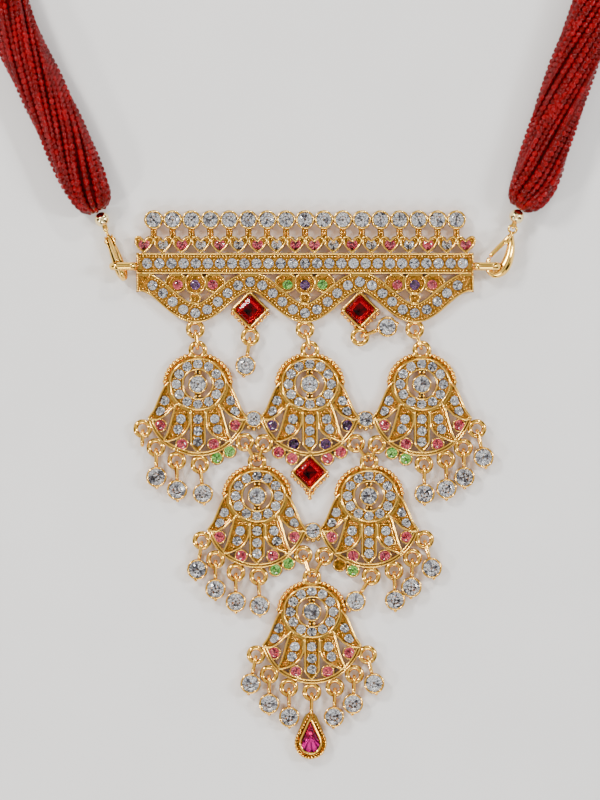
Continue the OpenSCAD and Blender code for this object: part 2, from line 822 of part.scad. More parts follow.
centre_places = [for (row = [0:2], i = [0:BELLS[row] - 1]) bell_at(row, i)];

module bell_main_stones() {
    color(CLEAR) {
        round_stones(centre_places, centre_stone_d);
        round_stones([for (row = [0:2], p = joint_places(row)) p], joint_stone_d);
    }
}

// The first and last trefoils have pink sides and the middle one green
module pink_stones() {
    color(PINK) {
        round_stones(concat(cells_of(false), rims_of(2)), cell_stone_d);
        round_stones([for (i = [0, WAVES - 1], p = trefoil_sides(i)) p], trefoil_stone_d);
    }
}

module green_stones() {
    color(GREEN) {
        round_stones(rims_of(1), cell_stone_d);
        round_stones(trefoil_sides(1), trefoil_stone_d);
    }
}

module violet_stones() {
    color(VIOLET) {
        round_stones(cells_of(true), cell_stone_d);
        round_stones(trefoil_mid_places, trefoil_stone_d);
    }
}

// Links: one from each trough to a bell of the first row, then two to each bell below

// Two links share a hole, each kept to its own side
side_shift = 0.28;
link_ends = concat(
    [for (i = [0:BELLS[0] - 1]) [[trough_x(i), trough_loop_y], top_loop(0, i)]],
    [for (row = [1, 2], i = [0:BELLS[row] - 1], s = [0, 1])
        [rim_loop(row - 1, i + s, s == 0 ? 6 : 0), top_loop(row, i) + [(2 * s - 1) * side_shift, 0]]]
);

module link(i) {
    color(GOLD) link_between(link_ends[i][0], link_ends[i][1]);
}

// Drops: the hole's centre at the origin and the drop at -Y

drop_culet = 0.9;
drop_lap = 0.4;
bare_bail_swing = -2;
bare_bail_short = 0.2;

module bail(l) {
    translate([0, -end_reach, loop_z]) stadium_link(l - end_reach - link_room / 2 - link_wire);
}

module drop(i) {
    at = drop_at(i);
    color(GOLD) translate(at[0]) rotate(at[1]) difference() {
        union() {
            bail(drop_l - drop_d / 2 + drop_lap);
            translate([0, -drop_l, 0]) cylinder(h = drop_h, d = drop_d, $fn = 48);
        }
        translate([0, -drop_l, drop_culet - culet_gap])
            cylinder(h = drop_h, d = drop_stone_d + 2 * seat_gap, $fn = 48);
    }
}

module drop_stones() {
    color(CLEAR) for (i = [0:DROPS - 1])
        translate(drop_at(i)[0]) rotate(drop_at(i)[1]) translate([0, -drop_l, drop_culet])
            gem(round_cut(drop_stone_d / 2), drop_stone_d);
}

module bail_bare() {
    color(GOLD) translate(rim_loop(0, 0, 0)) rotate(bare_bail_swing)
        bail(drop_l - drop_d / 2 - bare_bail_short);
}

pear_shift = -0.3;
pear_at = rim_loop(2, 0, 3) + [pear_shift, -pear_l];
pear_bezel_t = 0.55;
pear_lip = 0.2;
pear_bail_lap = 0.9;
pear_table = 0.6;

module pear_drop() {
    color(GOLD) difference() {
        union() {
            translate(pear_at) {
                layer(0, cast_t) offset(r = pear_border, $fn = 32) polygon(pear(pear_stone_w, pear_stone_h, 24));
                raised(bezel_top(pear_stone_w) + pear_lip)
                    offset(delta = pear_bezel_t) polygon(pear(pear_stone_w, pear_stone_h, 12));
                raised(cast_t + rim_h) rim_2d()
                    offset(r = pear_border, $fn = 32) polygon(pear(pear_stone_w, pear_stone_h, 24));
            }
            translate(rim_loop(2, 0, 3)) rotate(atan2(pear_shift, pear_l))
                bail(pear_l - pear_stone_h / 2 - pear_border + pear_bail_lap);
        }
        translate([pear_at[0], pear_at[1], back_t])
            linear_extrude(3 * cast_t) offset(delta = seat_gap) polygon(pear(pear_stone_w, pear_stone_h, 12));
    }
}

module pear_stone() {
    color(MAGENTA) translate([pear_at[0], pear_at[1], back_t + culet_gap])
        gem(pear(pear_stone_w, pear_stone_h), pear_stone_w, pear_table);
}

// Clasps

module placed(clasp) {
    translate(clasp[0]) rotate([0, 0, clasp[1]]) rotate([0, clasp[2], 0]) children();
}

module lever_2d() {
    hull() {
        translate(pivot) circle(r = lever_r, $fn = 32);
        translate(lever_tip) circle(r = lever_tip_r, $fn = 32);
    }
}

module about_pivot(a) {
    translate(pivot) rotate(a) translate(-pivot) children();
}

module bow_2d() {
    difference() {
        hull() {
            translate(neck) circle(r = neck_r, $fn = 32);
            translate([bow_x, -clasp_l]) circle(r = bow_r, $fn = 64);
        }
        hull() {
            translate([bow_x, -clasp_l]) circle(r = bow_in_r, $fn = 48);
            translate([bow_x + 0.75, -4.4]) circle(r = 0.4, $fn = 24);
        }
        gate_y = lever_tip[1] - lever_tip_r - gate_gap;
        polygon([[-5, gate_y], [-1.2, gate_y], [-0.4, -4.6], [-0.95, -3.5], [-5, -3.5]]);
    }
}

module clasp_body() {
    // The hook is thinner than the spine, to pass through a side ring
    hook_top = -clasp_l + 2.2;
    slot_t = lever_t + 2 * slot_gap;
    difference() {
        union() {
            translate([0, 0, -clasp_t / 2]) linear_extrude(clasp_t) offset(delta = 0) bow_2d();
            translate([0, 0, -eye_t / 2]) cylinder(h = eye_t, d = eye_d, $fn = 32);
        }
        for (s = [-1, 1])
            translate([0, hook_top - clasp_l, s * (hook_t / 2 + clasp_t)])
                cube([4 * clasp_l, 2 * clasp_l, 2 * clasp_t], center = true);
        translate([0, 0, -slot_t / 2]) linear_extrude(slot_t) offset(delta = slot_gap)
            for (a = [0:lever_swing / 4:lever_swing]) about_pivot(a) lever_2d();
        translate([0, 0, -clasp_t]) cylinder(h = 2 * clasp_t, d = eye_hole_d, $fn = 32);
    }
    // The pin's ends stand out of the cheeks like rivets
    translate([pivot[0], pivot[1], -clasp_t / 2 - cut]) cylinder(h = clasp_t + 2 * cut, d = pin_d, $fn = 32);
}

module clasp_lever() {
    translate([0, 0, -lever_t / 2]) difference() {
        linear_extrude(lever_t) offset(delta = 0) lever_2d();
        translate([pivot[0], pivot[1], -cut]) cylinder(h = lever_t + 2 * cut, d = pin_d + 2 * pin_gap, $fn = 32);
    }
}

// The bead that gathers the strands, with a wire loop that crosses the clasp's eye
module end_bead() {
    room = eye_t + 0.3;
    loop_start = eye_hole_d / 2 + 0.05;
    translate([0, bead_y, 0]) sphere(d = end_bead_d, $fn = 48);
    translate([0, bead_y - end_bead_d / 2 + 0.7, 0])
        stadium_link(bead_y - end_bead_d / 2 + 0.7 - loop_start, room, eye_wire);
}

module clasp_left() {
    color(GOLD) placed(CLASP_LEFT) clasp_body();
}

module clasp_right() {
    color(GOLD) placed(CLASP_RIGHT) clasp_body();
}

module lever_left() {
    color(GOLD) placed(CLASP_LEFT) clasp_lever();
}

module lever_right() {
    color(GOLD) placed(CLASP_RIGHT) clasp_lever();
}

module end_bead_left() {
    color(GOLD) placed(CLASP_LEFT) end_bead();
}

module end_bead_right() {
    color(GOLD) placed(CLASP_RIGHT) end_bead();
}

// The bundle: a smooth curve through the route's points, swelling from each end bead

function bundle_start(clasp) =
    let (d = turn([0, bead_y + end_bead_d / 2 + bundle_gap], clasp[1]))
    [clasp[0][0] + d[0], clasp[0][1] + d[1]];
function before(clasp) =
    let (d = turn([0, bead_y - 2], clasp[1]))
    [clasp[0][0] + d[0], clasp[0][1] + d[1]];
function spline(a, b, c, d, t) =
    0.5 * ((2 * b) + (c - a) * t + (2 * a - 5 * b + 4 * c - d) * t * t + (3 * b - a - 3 * c + d) * t * t * t);

knots = concat(
    [before(CLASP_RIGHT), bundle_start(CLASP_RIGHT)],
    BUNDLE_ROUTE,
    [bundle_start(CLASP_LEFT), before(CLASP_LEFT)]
);
bundle_path = concat(
    [for (i = [1:len(knots) - 3], k = [0:SUBSTEPS - 1])
        spline(knots[i - 1], knots[i], knots[i + 1], knots[i + 2], k / SUBSTEPS)],
    [knots[len(knots) - 2]]
);
bundle_last = len(bundle_path) - 1;

// How far the bundle has swollen, by rings from its nearer end
SWELL = [0.24, 0.70, 0.92, 1];
function swell(i) =
    let (k = min(i, bundle_last - i))
    k < len(SWELL) ? SWELL[k] : 1;
function end_z(i) = i < bundle_last / 2 ? CLASP_RIGHT[0][2] : CLASP_LEFT[0][2];
function ring_z(i) =
    let (k = (swell(i) - SWELL[0]) / (1 - SWELL[0]))
    max(end_z(i) + (bundle_h / 2 - end_z(i)) * k, swell(i) * bundle_h / 2);
function heading(i) =
    let (d = bundle_path[min(i + 1, bundle_last)] - bundle_path[max(i - 1, 0)])
    d / norm(d);

module strand_bundle() {
    n = BUNDLE_SIDES;
    points = [
        for (i = [0:bundle_last], k = [0:n - 1])
            let (
                a = 360 * (k + 0.5) / n,
                across = cos(a) * swell(i) * bundle_w / 2,
                up = sin(a) * swell(i) * bundle_h / 2,
                h = heading(i)
            )
            [bundle_path[i][0] - h[1] * across, bundle_path[i][1] + h[0] * across, ring_z(i) + up]
    ];
    sides = [
        for (i = [0:bundle_last - 1], k = [0:n - 1])
            let (a = i * n + k, b = i * n + (k + 1) % n)
            [a, b, b + n, a + n]
    ];
    near_end = [for (k = [0:n - 1]) n - 1 - k];
    far_end = [for (k = [0:n - 1]) bundle_last * n + k];
    color(BEAD_RED) polyhedron(points, concat([near_end], sides, [far_end]));
}

plate();
color(CLEAR) round_stones(top_places, top_stone_d);  // top_stones
color(CLEAR) round_stones(heart_places_clear, heart_stone_d);  // heart_stones_clear
color(PINK) round_stones(heart_places_pink, heart_pink_d);  // heart_stones_pink
color(CLEAR) round_stones(bar_places, bar_stone_d);  // bar_stones
color(CLEAR) round_stones(wave_places, wave_stone_d);  // wave_stones
ruby_at([-wave_pitch / 2, diamond_y]);  // ruby_left
ruby_at([wave_pitch / 2, diamond_y]);  // ruby_right
ruby_at(ruby_centre_at());  // ruby_centre
casting(0);  // casting_row_1
casting(1);  // casting_row_2
casting(2);  // casting_row_3
bell_main_stones();
pink_stones();
green_stones();
violet_stones();
for (i = [0:LINKS - 1]) link(i);
for (i = [0:DROPS - 1]) drop(i);
drop_stones();
bail_bare();
pear_drop();
pear_stone();
clasp_left();
clasp_right();
lever_left();
lever_right();
end_bead_left();
end_bead_right();
strand_bundle();
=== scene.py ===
import math

import bpy
import numpy as np
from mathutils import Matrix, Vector


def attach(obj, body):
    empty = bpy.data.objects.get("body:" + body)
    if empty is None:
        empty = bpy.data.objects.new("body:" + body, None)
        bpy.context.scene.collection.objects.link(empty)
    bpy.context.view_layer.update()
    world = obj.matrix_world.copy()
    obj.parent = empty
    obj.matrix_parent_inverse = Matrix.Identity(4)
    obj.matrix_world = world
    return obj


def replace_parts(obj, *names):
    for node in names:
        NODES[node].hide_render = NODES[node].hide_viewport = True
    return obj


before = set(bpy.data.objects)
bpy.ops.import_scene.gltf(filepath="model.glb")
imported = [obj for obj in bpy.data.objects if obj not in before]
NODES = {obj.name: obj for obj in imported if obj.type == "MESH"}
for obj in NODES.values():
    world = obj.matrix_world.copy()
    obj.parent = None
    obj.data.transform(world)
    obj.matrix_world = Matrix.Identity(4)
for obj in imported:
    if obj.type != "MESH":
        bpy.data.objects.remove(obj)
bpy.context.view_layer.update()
BODY = "necklace"
MM = 0.001
rng = np.random.default_rng(7)

# Sizes in millimetres, as in the part's source

BAR_L, BAR_W = 84.2, 5.3
HALF_L, HALF_W = BAR_L / 2, BAR_W / 2
CAST_T, RIM_H, RIM_W, RIM_INSET = 1.7, 0.65, 0.45, 0.04
RIM_MID, RIM_TOP = RIM_INSET + RIM_W / 2, CAST_T + RIM_H
HEART_H = 4.5
WAVE_W, WAVE_RISE, WAVE_Y = 4.9, 3.9, 8.5
DIAMOND_R, RUBY_R = 4.9, 4.1
DISC_W, DISC_H, HOLE_D = 14.4, 13.2, 7.0
CENTRE_BEZEL_D, SHIELD_W, SHIELD_H = 4.8, 17.2, 15.6
SKIRT_R, SKIRT_DROP, SKIRT_BAND, COLUMN_W = 13.0, 5.0, 1.2, 4.0
CELL_BEZEL_D, JOINT_BEZEL_D = 3.4, 4.2
LOOP_D, LOOP_HOLE_D = 4.6, 2.7
ROW_STEPS = (27.9, 28.9)
DROP_D, DROP_L, DROP_H = 5.1, 7.3, 2.8
PEAR_W, PEAR_H, PEAR_BORDER, PEAR_L = 4.6, 8.2, 1.7, 10.9
BUNDLE_W, BUNDLE_H = 12.4, 11.0
BACK_T, CULET_GAP = 0.65, 0.08

HEARTS, BAR_STONES, WAVES = 18, 27, 3
HEART_PITCH = (BAR_L + 0.85) / HEARTS
HEART_W = HEART_PITCH + 0.15
TOP_BEZEL_D = HEART_PITCH + 0.08
HEART_Y = BAR_W / 2 - 0.25 + HEART_H / 2
BAR_PITCH = (BAR_L - 5.4) / (BAR_STONES - 1)
WAVE_PITCH = (BAR_L - 2) / WAVES
TROUGH_Y, CREST_Y = -WAVE_Y - WAVE_RISE, -WAVE_Y + WAVE_RISE
DIAMOND_Y = CREST_Y - WAVE_W / 2 - DIAMOND_R + 0.35
LOOP_R = LOOP_D / 2
TROUGH_LOOP_Y = TROUGH_Y - WAVE_W / 2 - LOOP_R + 0.7
DIAMOND_LOOP_Y = DIAMOND_Y - DIAMOND_R - LOOP_R + 0.5
PETAL_W, PETAL_H, PETAL_X = 5.8, 5.1, 4.7
PETAL_Y = -BAR_W / 2 - PETAL_H / 2 + 0.35
ARCH_W, ARCH_H, TIP_W = 5.4, 5.8, 2.9
TIP_GAP = (PETAL_Y - PETAL_H / 2) - (TROUGH_Y + WAVE_W / 2)
TIP_Y, TIP_H = PETAL_Y - PETAL_H / 2 - TIP_GAP / 2, TIP_GAP + 0.6
WING_TIP = (0.96 * SKIRT_R, -0.66 * SKIRT_R)
JOINT_Y = WING_TIP[1] - 0.1
BELL_PITCH = 2 * WING_TIP[0] + JOINT_BEZEL_D - 1.2
LOOP_RISE = SHIELD_H / 2 + LOOP_R - 1.6
LOOP_REACH = SKIRT_R + LOOP_R - 0.25
GEM_BEZEL_D = 2.6 + 1
GEM_REACH = SKIRT_R + GEM_BEZEL_D / 2 - 0.6
PAVE_R, PAVE_TOP = 1.19, 2.28
RING_RX, RING_RY = (DISC_W + HOLE_D) / 4, (DISC_H + HOLE_D) / 4
BELLS = (3, 2, 1)
ROW_X = (1.2, 2.0, 1.7)
ROW_1_Y = TROUGH_LOOP_Y - 5.2 - LOOP_RISE
ROW_Y = (ROW_1_Y, ROW_1_Y - ROW_STEPS[0], ROW_1_Y - sum(ROW_STEPS))
# Round each bell's rim, an angle from straight down and a kind:
# 0 loop, 1 green, 2 pink, 3 empty setting, 4 red diamond
RIMS = (
    (((-66, 0), (-44, 0), (-20.5, 0), (2, 0), (19.5, 1), (34, 1), (51, 0)),
     ((-49.5, 0), (-33, 2), (-18, 2), (0, 4), (18, 2), (33, 2), (49.5, 0)),
     ((-48, 0), (-31.5, 1), (-16.5, 1), (2, 0), (23.5, 0), (43.5, 0), (66, 0))),
    (((-66, 0), (-43.5, 0), (-20.5, 0), (1.5, 0), (19, 1), (33.5, 1), (50, 0)),
     ((-48, 0), (-31, 3), (-16.5, 1), (2, 0), (24.5, 0), (46, 0), (67, 0))),
    (((-67.5, 0), (-45, 0), (-22.5, 0), (0, 0), (22.5, 0), (45, 0), (67.5, 0)),),
)
# Outlines and places in a bell, as shares of SKIRT_R
WING = ((0.52, 0.05), (0.61, 0.01), (0.68, -0.09), (0.765, -0.28), (0.85, -0.48), (0.96, -0.66),
        (0.83, -0.70), (0.72, -0.67), (0.60, -0.60), (0.50, -0.50), (0.40, -0.38))
PETAL = ((0.41, -0.36), (0.30, -0.40), (0.14, -0.45), (0.135, -0.66), (0.15, -0.80),
         (0.215, -0.92), (0.32, -1.01), (0.47, -1.08), (0.60, -1.115), (0.665, -1.08),
         (0.595, -0.93), (0.54, -0.75), (0.49, -0.57))
CELLS = ((0.72, -0.79), (0.305, -1.15))
PAVE = ((0.635, -0.315), (0.715, -0.52), (0.325, -0.67), (0.38, -0.865))


def bezel_top(d):
    return BACK_T + CULET_GAP + 0.41 * d + 0.3


def wave_at(x):
    return -WAVE_Y - WAVE_RISE * np.cos(2 * np.pi * x / WAVE_PITCH)


def bell_at(row, i):
    return np.array([ROW_X[row] + (i - (BELLS[row] - 1) / 2) * BELL_PITCH, ROW_Y[row]])


def rim_at(reach, a):
    a = math.radians(a)
    return np.array([reach * math.sin(a), -SKIRT_DROP - reach * math.cos(a)])


def all_bells():
    return [(row, i, bell_at(row, i)) for row in range(3) for i in range(BELLS[row])]


# Meshes are gathered as arrays and made into one object each

class Soup:
    def __init__(self):
        self.v, self.loops, self.totals, self.mats, self.smooth, self.uv = [], [], [], [], [], []
        self.n = 0

    def add(self, verts, face_sets, mat=0, smooth=True, uv=None):
        """Adds sets of faces, each set of one size. mat is for all of them, or a list by set."""
        verts = np.asarray(verts, float)
        for k, faces in enumerate(face_sets):
            f = np.asarray(faces, int)
            if not len(f):
                continue
            self.loops.append((f + self.n).ravel())
            self.totals.append(np.full(len(f), f.shape[1]))
            self.mats.append(np.full(len(f), mat if np.isscalar(mat) else mat[k]))
            self.smooth.append(np.full(len(f), smooth, bool))
            if uv is not None:
                self.uv.append(uv[f.ravel()])
        self.v.append(verts)
        self.n += len(verts)

    def make(self, name, materials, slot, body=BODY):
        v = np.concatenate(self.v) * MM
        loops = np.concatenate(self.loops)
        totals = np.concatenate(self.totals)
        mesh = bpy.data.meshes.new(name)
        mesh.vertices.add(len(v))
        mesh.vertices.foreach_set("co", v.ravel())
        mesh.loops.add(len(loops))
        mesh.loops.foreach_set("vertex_index", loops)
        mesh.polygons.add(len(totals))
        mesh.polygons.foreach_set("loop_start", np.concatenate([[0], np.cumsum(totals)[:-1]]))
        mesh.polygons.foreach_set("material_index", np.concatenate(self.mats))
        mesh.polygons.foreach_set("use_smooth", np.concatenate(self.smooth))
        if self.uv:
            layer = mesh.uv_layers.new(name="beads")
            layer.data.foreach_set("uv", np.concatenate(self.uv).ravel())
        mesh.update(calc_edges=True)
        mesh.validate()
        for m in materials:
            mesh.materials.append(m)
        o = bpy.data.objects.new(name, mesh)
        bpy.context.scene.collection.objects.link(o)
        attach(o, body)
        return o


def ring_faces(rings, sides, closed=False):
    """Quads between rings of vertices that follow one another."""
    last = rings if closed else rings - 1
    i = np.repeat(np.arange(last), sides)
    k = np.tile(np.arange(sides), last)
    j, l = (i + 1) % rings, (k + 1) % sides
    return np.stack([i * sides + k, i * sides + l, j * sides + l, j * sides + k], 1)


def end_caps(rings, sides):
    return [tuple(range(sides))[::-1], tuple(range((rings - 1) * sides, rings * sides))]


def sphere_proto(sides, bands):
    v, rings = [(0, 0, -1)], bands - 1
    for r in range(1, bands):
        t = math.pi * r / bands
        for k in range(sides):
            a = 2 * math.pi * k / sides
            v.append((math.sin(t) * math.cos(a), math.sin(t) * math.sin(a), -math.cos(t)))
    v.append((0, 0, 1))
    quads = ring_faces(rings, sides) + 1
    k = np.arange(sides)
    low = np.stack([np.zeros(sides, int), 1 + (k + 1) % sides, 1 + k], 1)
    base = 1 + (rings - 1) * sides
    top = np.stack([np.full(sides, len(v) - 1), base + k, base + (k + 1) % sides], 1)
    return np.array(v), [quads, low, top]


def torus_proto(big, small, around=28, sides=8):
    a = np.repeat(2 * np.pi * np.arange(around) / around, sides)
    b = np.tile(2 * np.pi * np.arange(sides) / sides, around)
    r = big + small * np.cos(b)
    v = np.stack([r * np.cos(a), r * np.sin(a), small * np.sin(b)], 1)
    return v, [ring_faces(around, sides, True)]


# Spheres of radius 1, by sides and bands: the smaller on the piece, the coarser
GRAIN, FOOT_GRAIN, JOINT_GRAIN = sphere_proto(7, 3), sphere_proto(8, 6), sphere_proto(10, 6)
NUB, BIG_GRAIN = sphere_proto(10, 8), sphere_proto(12, 8)


def balls(soup, places, r, squash=1.0, proto=GRAIN):
    v, sets = proto
    for p in places:
        soup.add(v * np.array([r, r, r * squash]) + np.asarray(p, float), sets)


def at_z(points, z):
    points = np.asarray(points, float)
    return np.column_stack([points[:, :2], np.full(len(points), z)])


def grains(soup, points, rise, r, squash=1.0, proto=GRAIN):
    """Balls whose middles are this high over the castings' ground."""
    balls(soup, at_z(points, CAST_T + rise), r, squash, proto)


def unit(v):
    return v / (np.linalg.norm(v, axis=1, keepdims=True) + 1e-12)


def neighbours(path, closed=True):
    """The point after and the point before each point of a path."""
    if closed:
        return np.roll(path, -1, 0), np.roll(path, 1, 0)
    return np.vstack([path[1:], path[-1:]]), np.vstack([path[:1], path[:-1]])


def tube(soup, path, r, closed=True, sides=8, flat=1.0, place=None):
    """A round wire along a path of points, with its ends closed. place moves its points."""
    path = np.asarray(path, float)
    nxt, prv = neighbours(path, closed)
    t = unit(nxt - prv)
    side = unit(np.stack([-t[:, 1], t[:, 0], np.zeros(len(t))], 1))
    up = np.cross(t, side)
    r = np.broadcast_to(np.asarray(r, float), (len(path),))
    a = 2 * np.pi * np.arange(sides) / sides
    ring = side[:, None] * np.cos(a)[:, None] + flat * up[:, None] * np.sin(a)[:, None]
    v = (path[:, None] + r[:, None, None] * ring).reshape(-1, 3)
    sets = [ring_faces(len(path), sides, closed)]
    if not closed:
        k, n = np.arange(sides), len(path) * sides
        last = n - sides
        v = np.vstack([v, path[0] - t[0] * r[0] * 0.6, path[-1] + t[-1] * r[-1] * 0.6])
        sets.append(np.stack([np.full(sides, n), (k + 1) % sides, k], 1))
        sets.append(np.stack([np.full(sides, n + 1), last + k, last + (k + 1) % sides], 1))
    soup.add(place(v) if place else v, sets)


def rim_wire(soup, points, r=0.26, sink=0.1, closed=False):
    """A round wire on the castings' rims, its middle sunk this far below their top."""
    tube(soup, at_z(points, RIM_TOP - sink), r, closed)


def ellipse(rx, ry, n=48, c=(0, 0), start=0.0, end=360.0):
    full = abs(end - start) >= 359.9
    a = np.radians(np.linspace(start, end, n, endpoint=not full))
    return np.stack([c[0] + rx * np.cos(a), c[1] + ry * np.sin(a)], 1)


def oval(x, y, rx, ry):
    """Under 1 inside an ellipse round the origin, over 1 outside it."""
    return (x / rx) ** 2 + (y / ry) ** 2


def catmull_rom(a, b, c, d, t):
    """The curve from b to c, at t from 0 to 1."""
    return 0.5 * (2 * b + (c - a) * t + (2 * a - 5 * b + 4 * c - d) * t * t
                  + (3 * b - a - 3 * c + d) * t ** 3)


def closed_curve(points, steps=5):
    p = np.asarray(points, float)
    near = np.roll(p, 1, 0), p, np.roll(p, -1, 0), np.roll(p, -2, 0)
    return np.stack([catmull_rom(*near, k / steps) for k in range(steps)], 1).reshape(-1, 2)


def inset(points, d):
    """The outline moved inwards by d."""
    p = np.asarray(points, float)
    nxt, prv = neighbours(p)
    t = unit(nxt - prv)
    area = 0.5 * np.sum(p[:, 0] * nxt[:, 1] - nxt[:, 0] * p[:, 1])
    n = np.stack([-t[:, 1], t[:, 0]], 1) * (1 if area > 0 else -1)
    return p + n * d


def spaced(points, pitch, closed=True):
    """Points at an even pitch along an outline."""
    p = np.asarray(points, float)
    if closed:
        p = np.vstack([p, p[:1]])
    s = np.concatenate([[0], np.cumsum(np.linalg.norm(np.diff(p, axis=0), axis=1))])
    n = max(2, int(round(s[-1] / pitch)))
    u = np.linspace(0, s[-1], n, endpoint=not closed)
    return np.stack([np.interp(u, s, p[:, k]) for k in range(p.shape[1])], 1)


def open_runs(points, keep):
    """Stretches of an open line whose points are kept."""
    marks = np.flatnonzero(np.diff(np.concatenate([[0], np.asarray(keep, int), [0]])))
    return [points[a:b] for a, b in zip(marks[::2], marks[1::2]) if b - a > 2]


def runs(points, keep):
    """Stretches of a closed outline whose points are kept."""
    if np.all(keep):
        return [np.vstack([points, points[:1]])]
    start = int(np.argmin(keep))
    return open_runs(np.roll(points, -start, 0), np.roll(keep, -start))


def heart(w, h, n=40, power=1.8):
    t = 2 * np.pi * np.arange(n) / n
    s = np.sin(t)
    rise = 13 * np.cos(t) - 5 * np.cos(2 * t) - 2 * np.cos(3 * t) - np.cos(4 * t) + 2.5
    return np.stack([w / 2 * np.sign(s) * np.abs(s) ** power, h / 29 * rise], 1)


def pear(w, h, n=28):
    r = w / 2
    cy = r - h / 2
    opening = math.asin(r / (h / 2 - cy))
    a = opening - np.arange(n + 1) * (math.pi + 2 * opening) / n
    return np.vstack([[0, h / 2], np.stack([r * np.cos(a), cy + r * np.sin(a)], 1)])


def in_outline(p, outline):
    inside = np.zeros(len(p), bool)
    q = np.asarray(outline)
    for (x1, y1), (x2, y2) in zip(q, np.roll(q, -1, 0)):
        if y1 != y2:
            left = p[:, 0] < (x2 - x1) * (p[:, 1] - y1) / (y2 - y1) + x1
            inside ^= ((y1 > p[:, 1]) != (y2 > p[:, 1])) & left
    return inside


# Materials

class Shader:
    """A node tree. Each input is given a value, or another node's output to link to it."""

    def __init__(self, tree):
        self.tree, self.coords = tree, None

    def fill(self, node, inputs):
        for key, value in inputs.items():
            if isinstance(value, bpy.types.NodeSocket):
                self.tree.links.new(value, node.inputs[key])
            else:
                node.inputs[key].default_value = value

    def add(self, kind, inputs=(), **settings):
        node = self.tree.nodes.new("ShaderNode" + kind)
        for key, value in settings.items():
            setattr(node, key, value)
        self.fill(node, dict(inputs))
        return node

    def place(self, source="Object"):
        self.coords = self.coords or self.add("TexCoord")
        return self.coords.outputs[source]

    def noise(self, scale, detail=2, source="Object"):
        inputs = {"Vector": self.place(source), "Scale": scale, "Detail": detail}
        return self.add("TexNoise", inputs).outputs["Fac"]

    def ramp(self, fac, *stops):
        """A colour by fac, from stops of a position and a colour. The third and on lie between."""
        node = self.add("ValToRGB", {"Fac": fac})
        elements = node.color_ramp.elements
        for k, (position, colour) in enumerate(stops):
            e = elements[k] if k < 2 else elements.new(position)
            e.position, e.color = position, (*colour, 1)
        return node.outputs["Color"]

    def spread(self, value, low=0.0, high=1.0, from_low=0.0, from_high=1.0):
        inputs = {"Value": value, "From Min": from_low, "From Max": from_high,
                  "To Min": low, "To Max": high}
        return self.add("MapRange", inputs).outputs["Result"]

    def mix(self, factor, a, b, blend_type="MIX"):
        inputs = {"Factor": factor, "A": a, "B": b}
        node = self.add("Mix", inputs, data_type="RGBA", blend_type=blend_type)
        return node.outputs["Result"]

    def math(self, operation, *values):
        return self.add("Math", enumerate(values), operation=operation).outputs["Value"]

    def axes(self, source="Object"):
        return self.add("SeparateXYZ", {"Vector": self.place(source)}).outputs


def new_material(name):
    m = bpy.data.materials.new(name)
    m.use_nodes = True
    return m, Shader(m.node_tree), m.node_tree.nodes["Principled BSDF"]


def gold_material(name, recess_shade, bright, rough, reach=0.0007, grain=0.25, ground=None):
    """Polished gold: deeper and redder in its recesses, which is painted shade from an occlusion
    node, and on its low ground a mottled deeper colour that is painted shade too; with a fine grain.
    """
    m, sh, bsdf = new_material(name)
    # The occlusion node paints shade into the recesses: the first colour is the painted shade, the
    # second the gold's own colour.
    ao = sh.add("AmbientOcclusion", {"Distance": reach}, samples=6)
    patch = sh.noise(260, 3)
    colour = sh.mix(0.22, sh.ramp(ao.outputs["AO"], (0.30, recess_shade), (0.92, bright)),
                    sh.ramp(patch, (0.35, (0.95, 0.82, 0.62)), (0.65, (1, 1, 1))), "MULTIPLY")
    # Surfaces low on the castings take a deeper, mottled colour that fades out 0.38 mm up: painted
    # shade.
    if ground:
        rise = sh.spread(sh.axes()["Z"], 0, 1, (CAST_T + 0.02) * MM, (CAST_T + 0.38) * MM)
        dull = [0.42 * g for g in ground]
        colour = sh.mix(rise, sh.ramp(sh.noise(1300), (0.38, dull), (0.60, ground)), colour)
    bump = sh.add("Bump", {"Strength": grain, "Distance": 0.00004, "Height": sh.noise(2600)})
    sh.fill(bsdf, {"Metallic": 1.0, "Specular IOR Level": 0.6, "Base Color": colour,
                   "Roughness": sh.spread(patch, rough * 0.7, rough * 1.5),
                   "Normal": bump.outputs["Normal"]})
    return m


def glass_material(name, colour, ior):
    m, sh, bsdf = new_material(name)
    sh.fill(bsdf, {"Base Color": (*colour, 1), "Transmission Weight": 1.0, "IOR": ior,
                   "Roughness": sh.spread(sh.noise(700), 0.0, 0.05)})
    return m


def foil_material(name, colour, dark, rough):
    """The mirror foil behind a stone, with small dull patches."""
    m, sh, bsdf = new_material(name)
    colour = sh.ramp(sh.noise(900), (0.36, dark), (0.58, colour))
    sh.fill(bsdf, {"Metallic": 1.0, "Base Color": colour, "Roughness": rough})
    return m


def bead_material():
    """Deep red glass seed beads, each a little different. Each bead has its own whole U."""
    m, sh, bsdf = new_material("seed_bead_glass")
    uv = sh.add("UVMap", uv_map="beads")
    split = sh.add("SeparateXYZ", {"Vector": uv.outputs["UV"]})
    number = {"W": sh.math("FLOOR", split.outputs["X"])}
    rand = sh.add("TexWhiteNoise", number, noise_dimensions="1D")
    colour = sh.ramp(rand.outputs["Value"], (0, (0.09, 0.0, 0.0)), (1, (0.23, 0.0, 0.002)),
                     (0.6, (0.145, 0.0, 0.001)))
    sh.fill(bsdf, {"Base Color": colour, "Roughness": 0.10, "Specular IOR Level": 0.14})
    return m


# In each gold the first colour is the painted shade in its recesses and the second its own colour;
# GOLD's ground colour is painted shade on its low ground.
GOLD = gold_material("cast_gold", (0.17, 0.042, 0.003), (1.0, 0.60, 0.115), 0.13,
                     reach=0.0009, ground=(1.0, 0.45, 0.055))
WIRE_GOLD = gold_material("wire_gold", (0.42, 0.15, 0.012), (1.0, 0.57, 0.095), 0.11, grain=0.10)
BRIGHT_GOLD = gold_material("bright_gold", (0.28, 0.10, 0.008), (1.0, 0.62, 0.13), 0.07,
                            grain=0.06)
PALE_GOLD = gold_material("pale_gold", (0.34, 0.20, 0.06), (1.0, 0.79, 0.40), 0.06, grain=0.04)
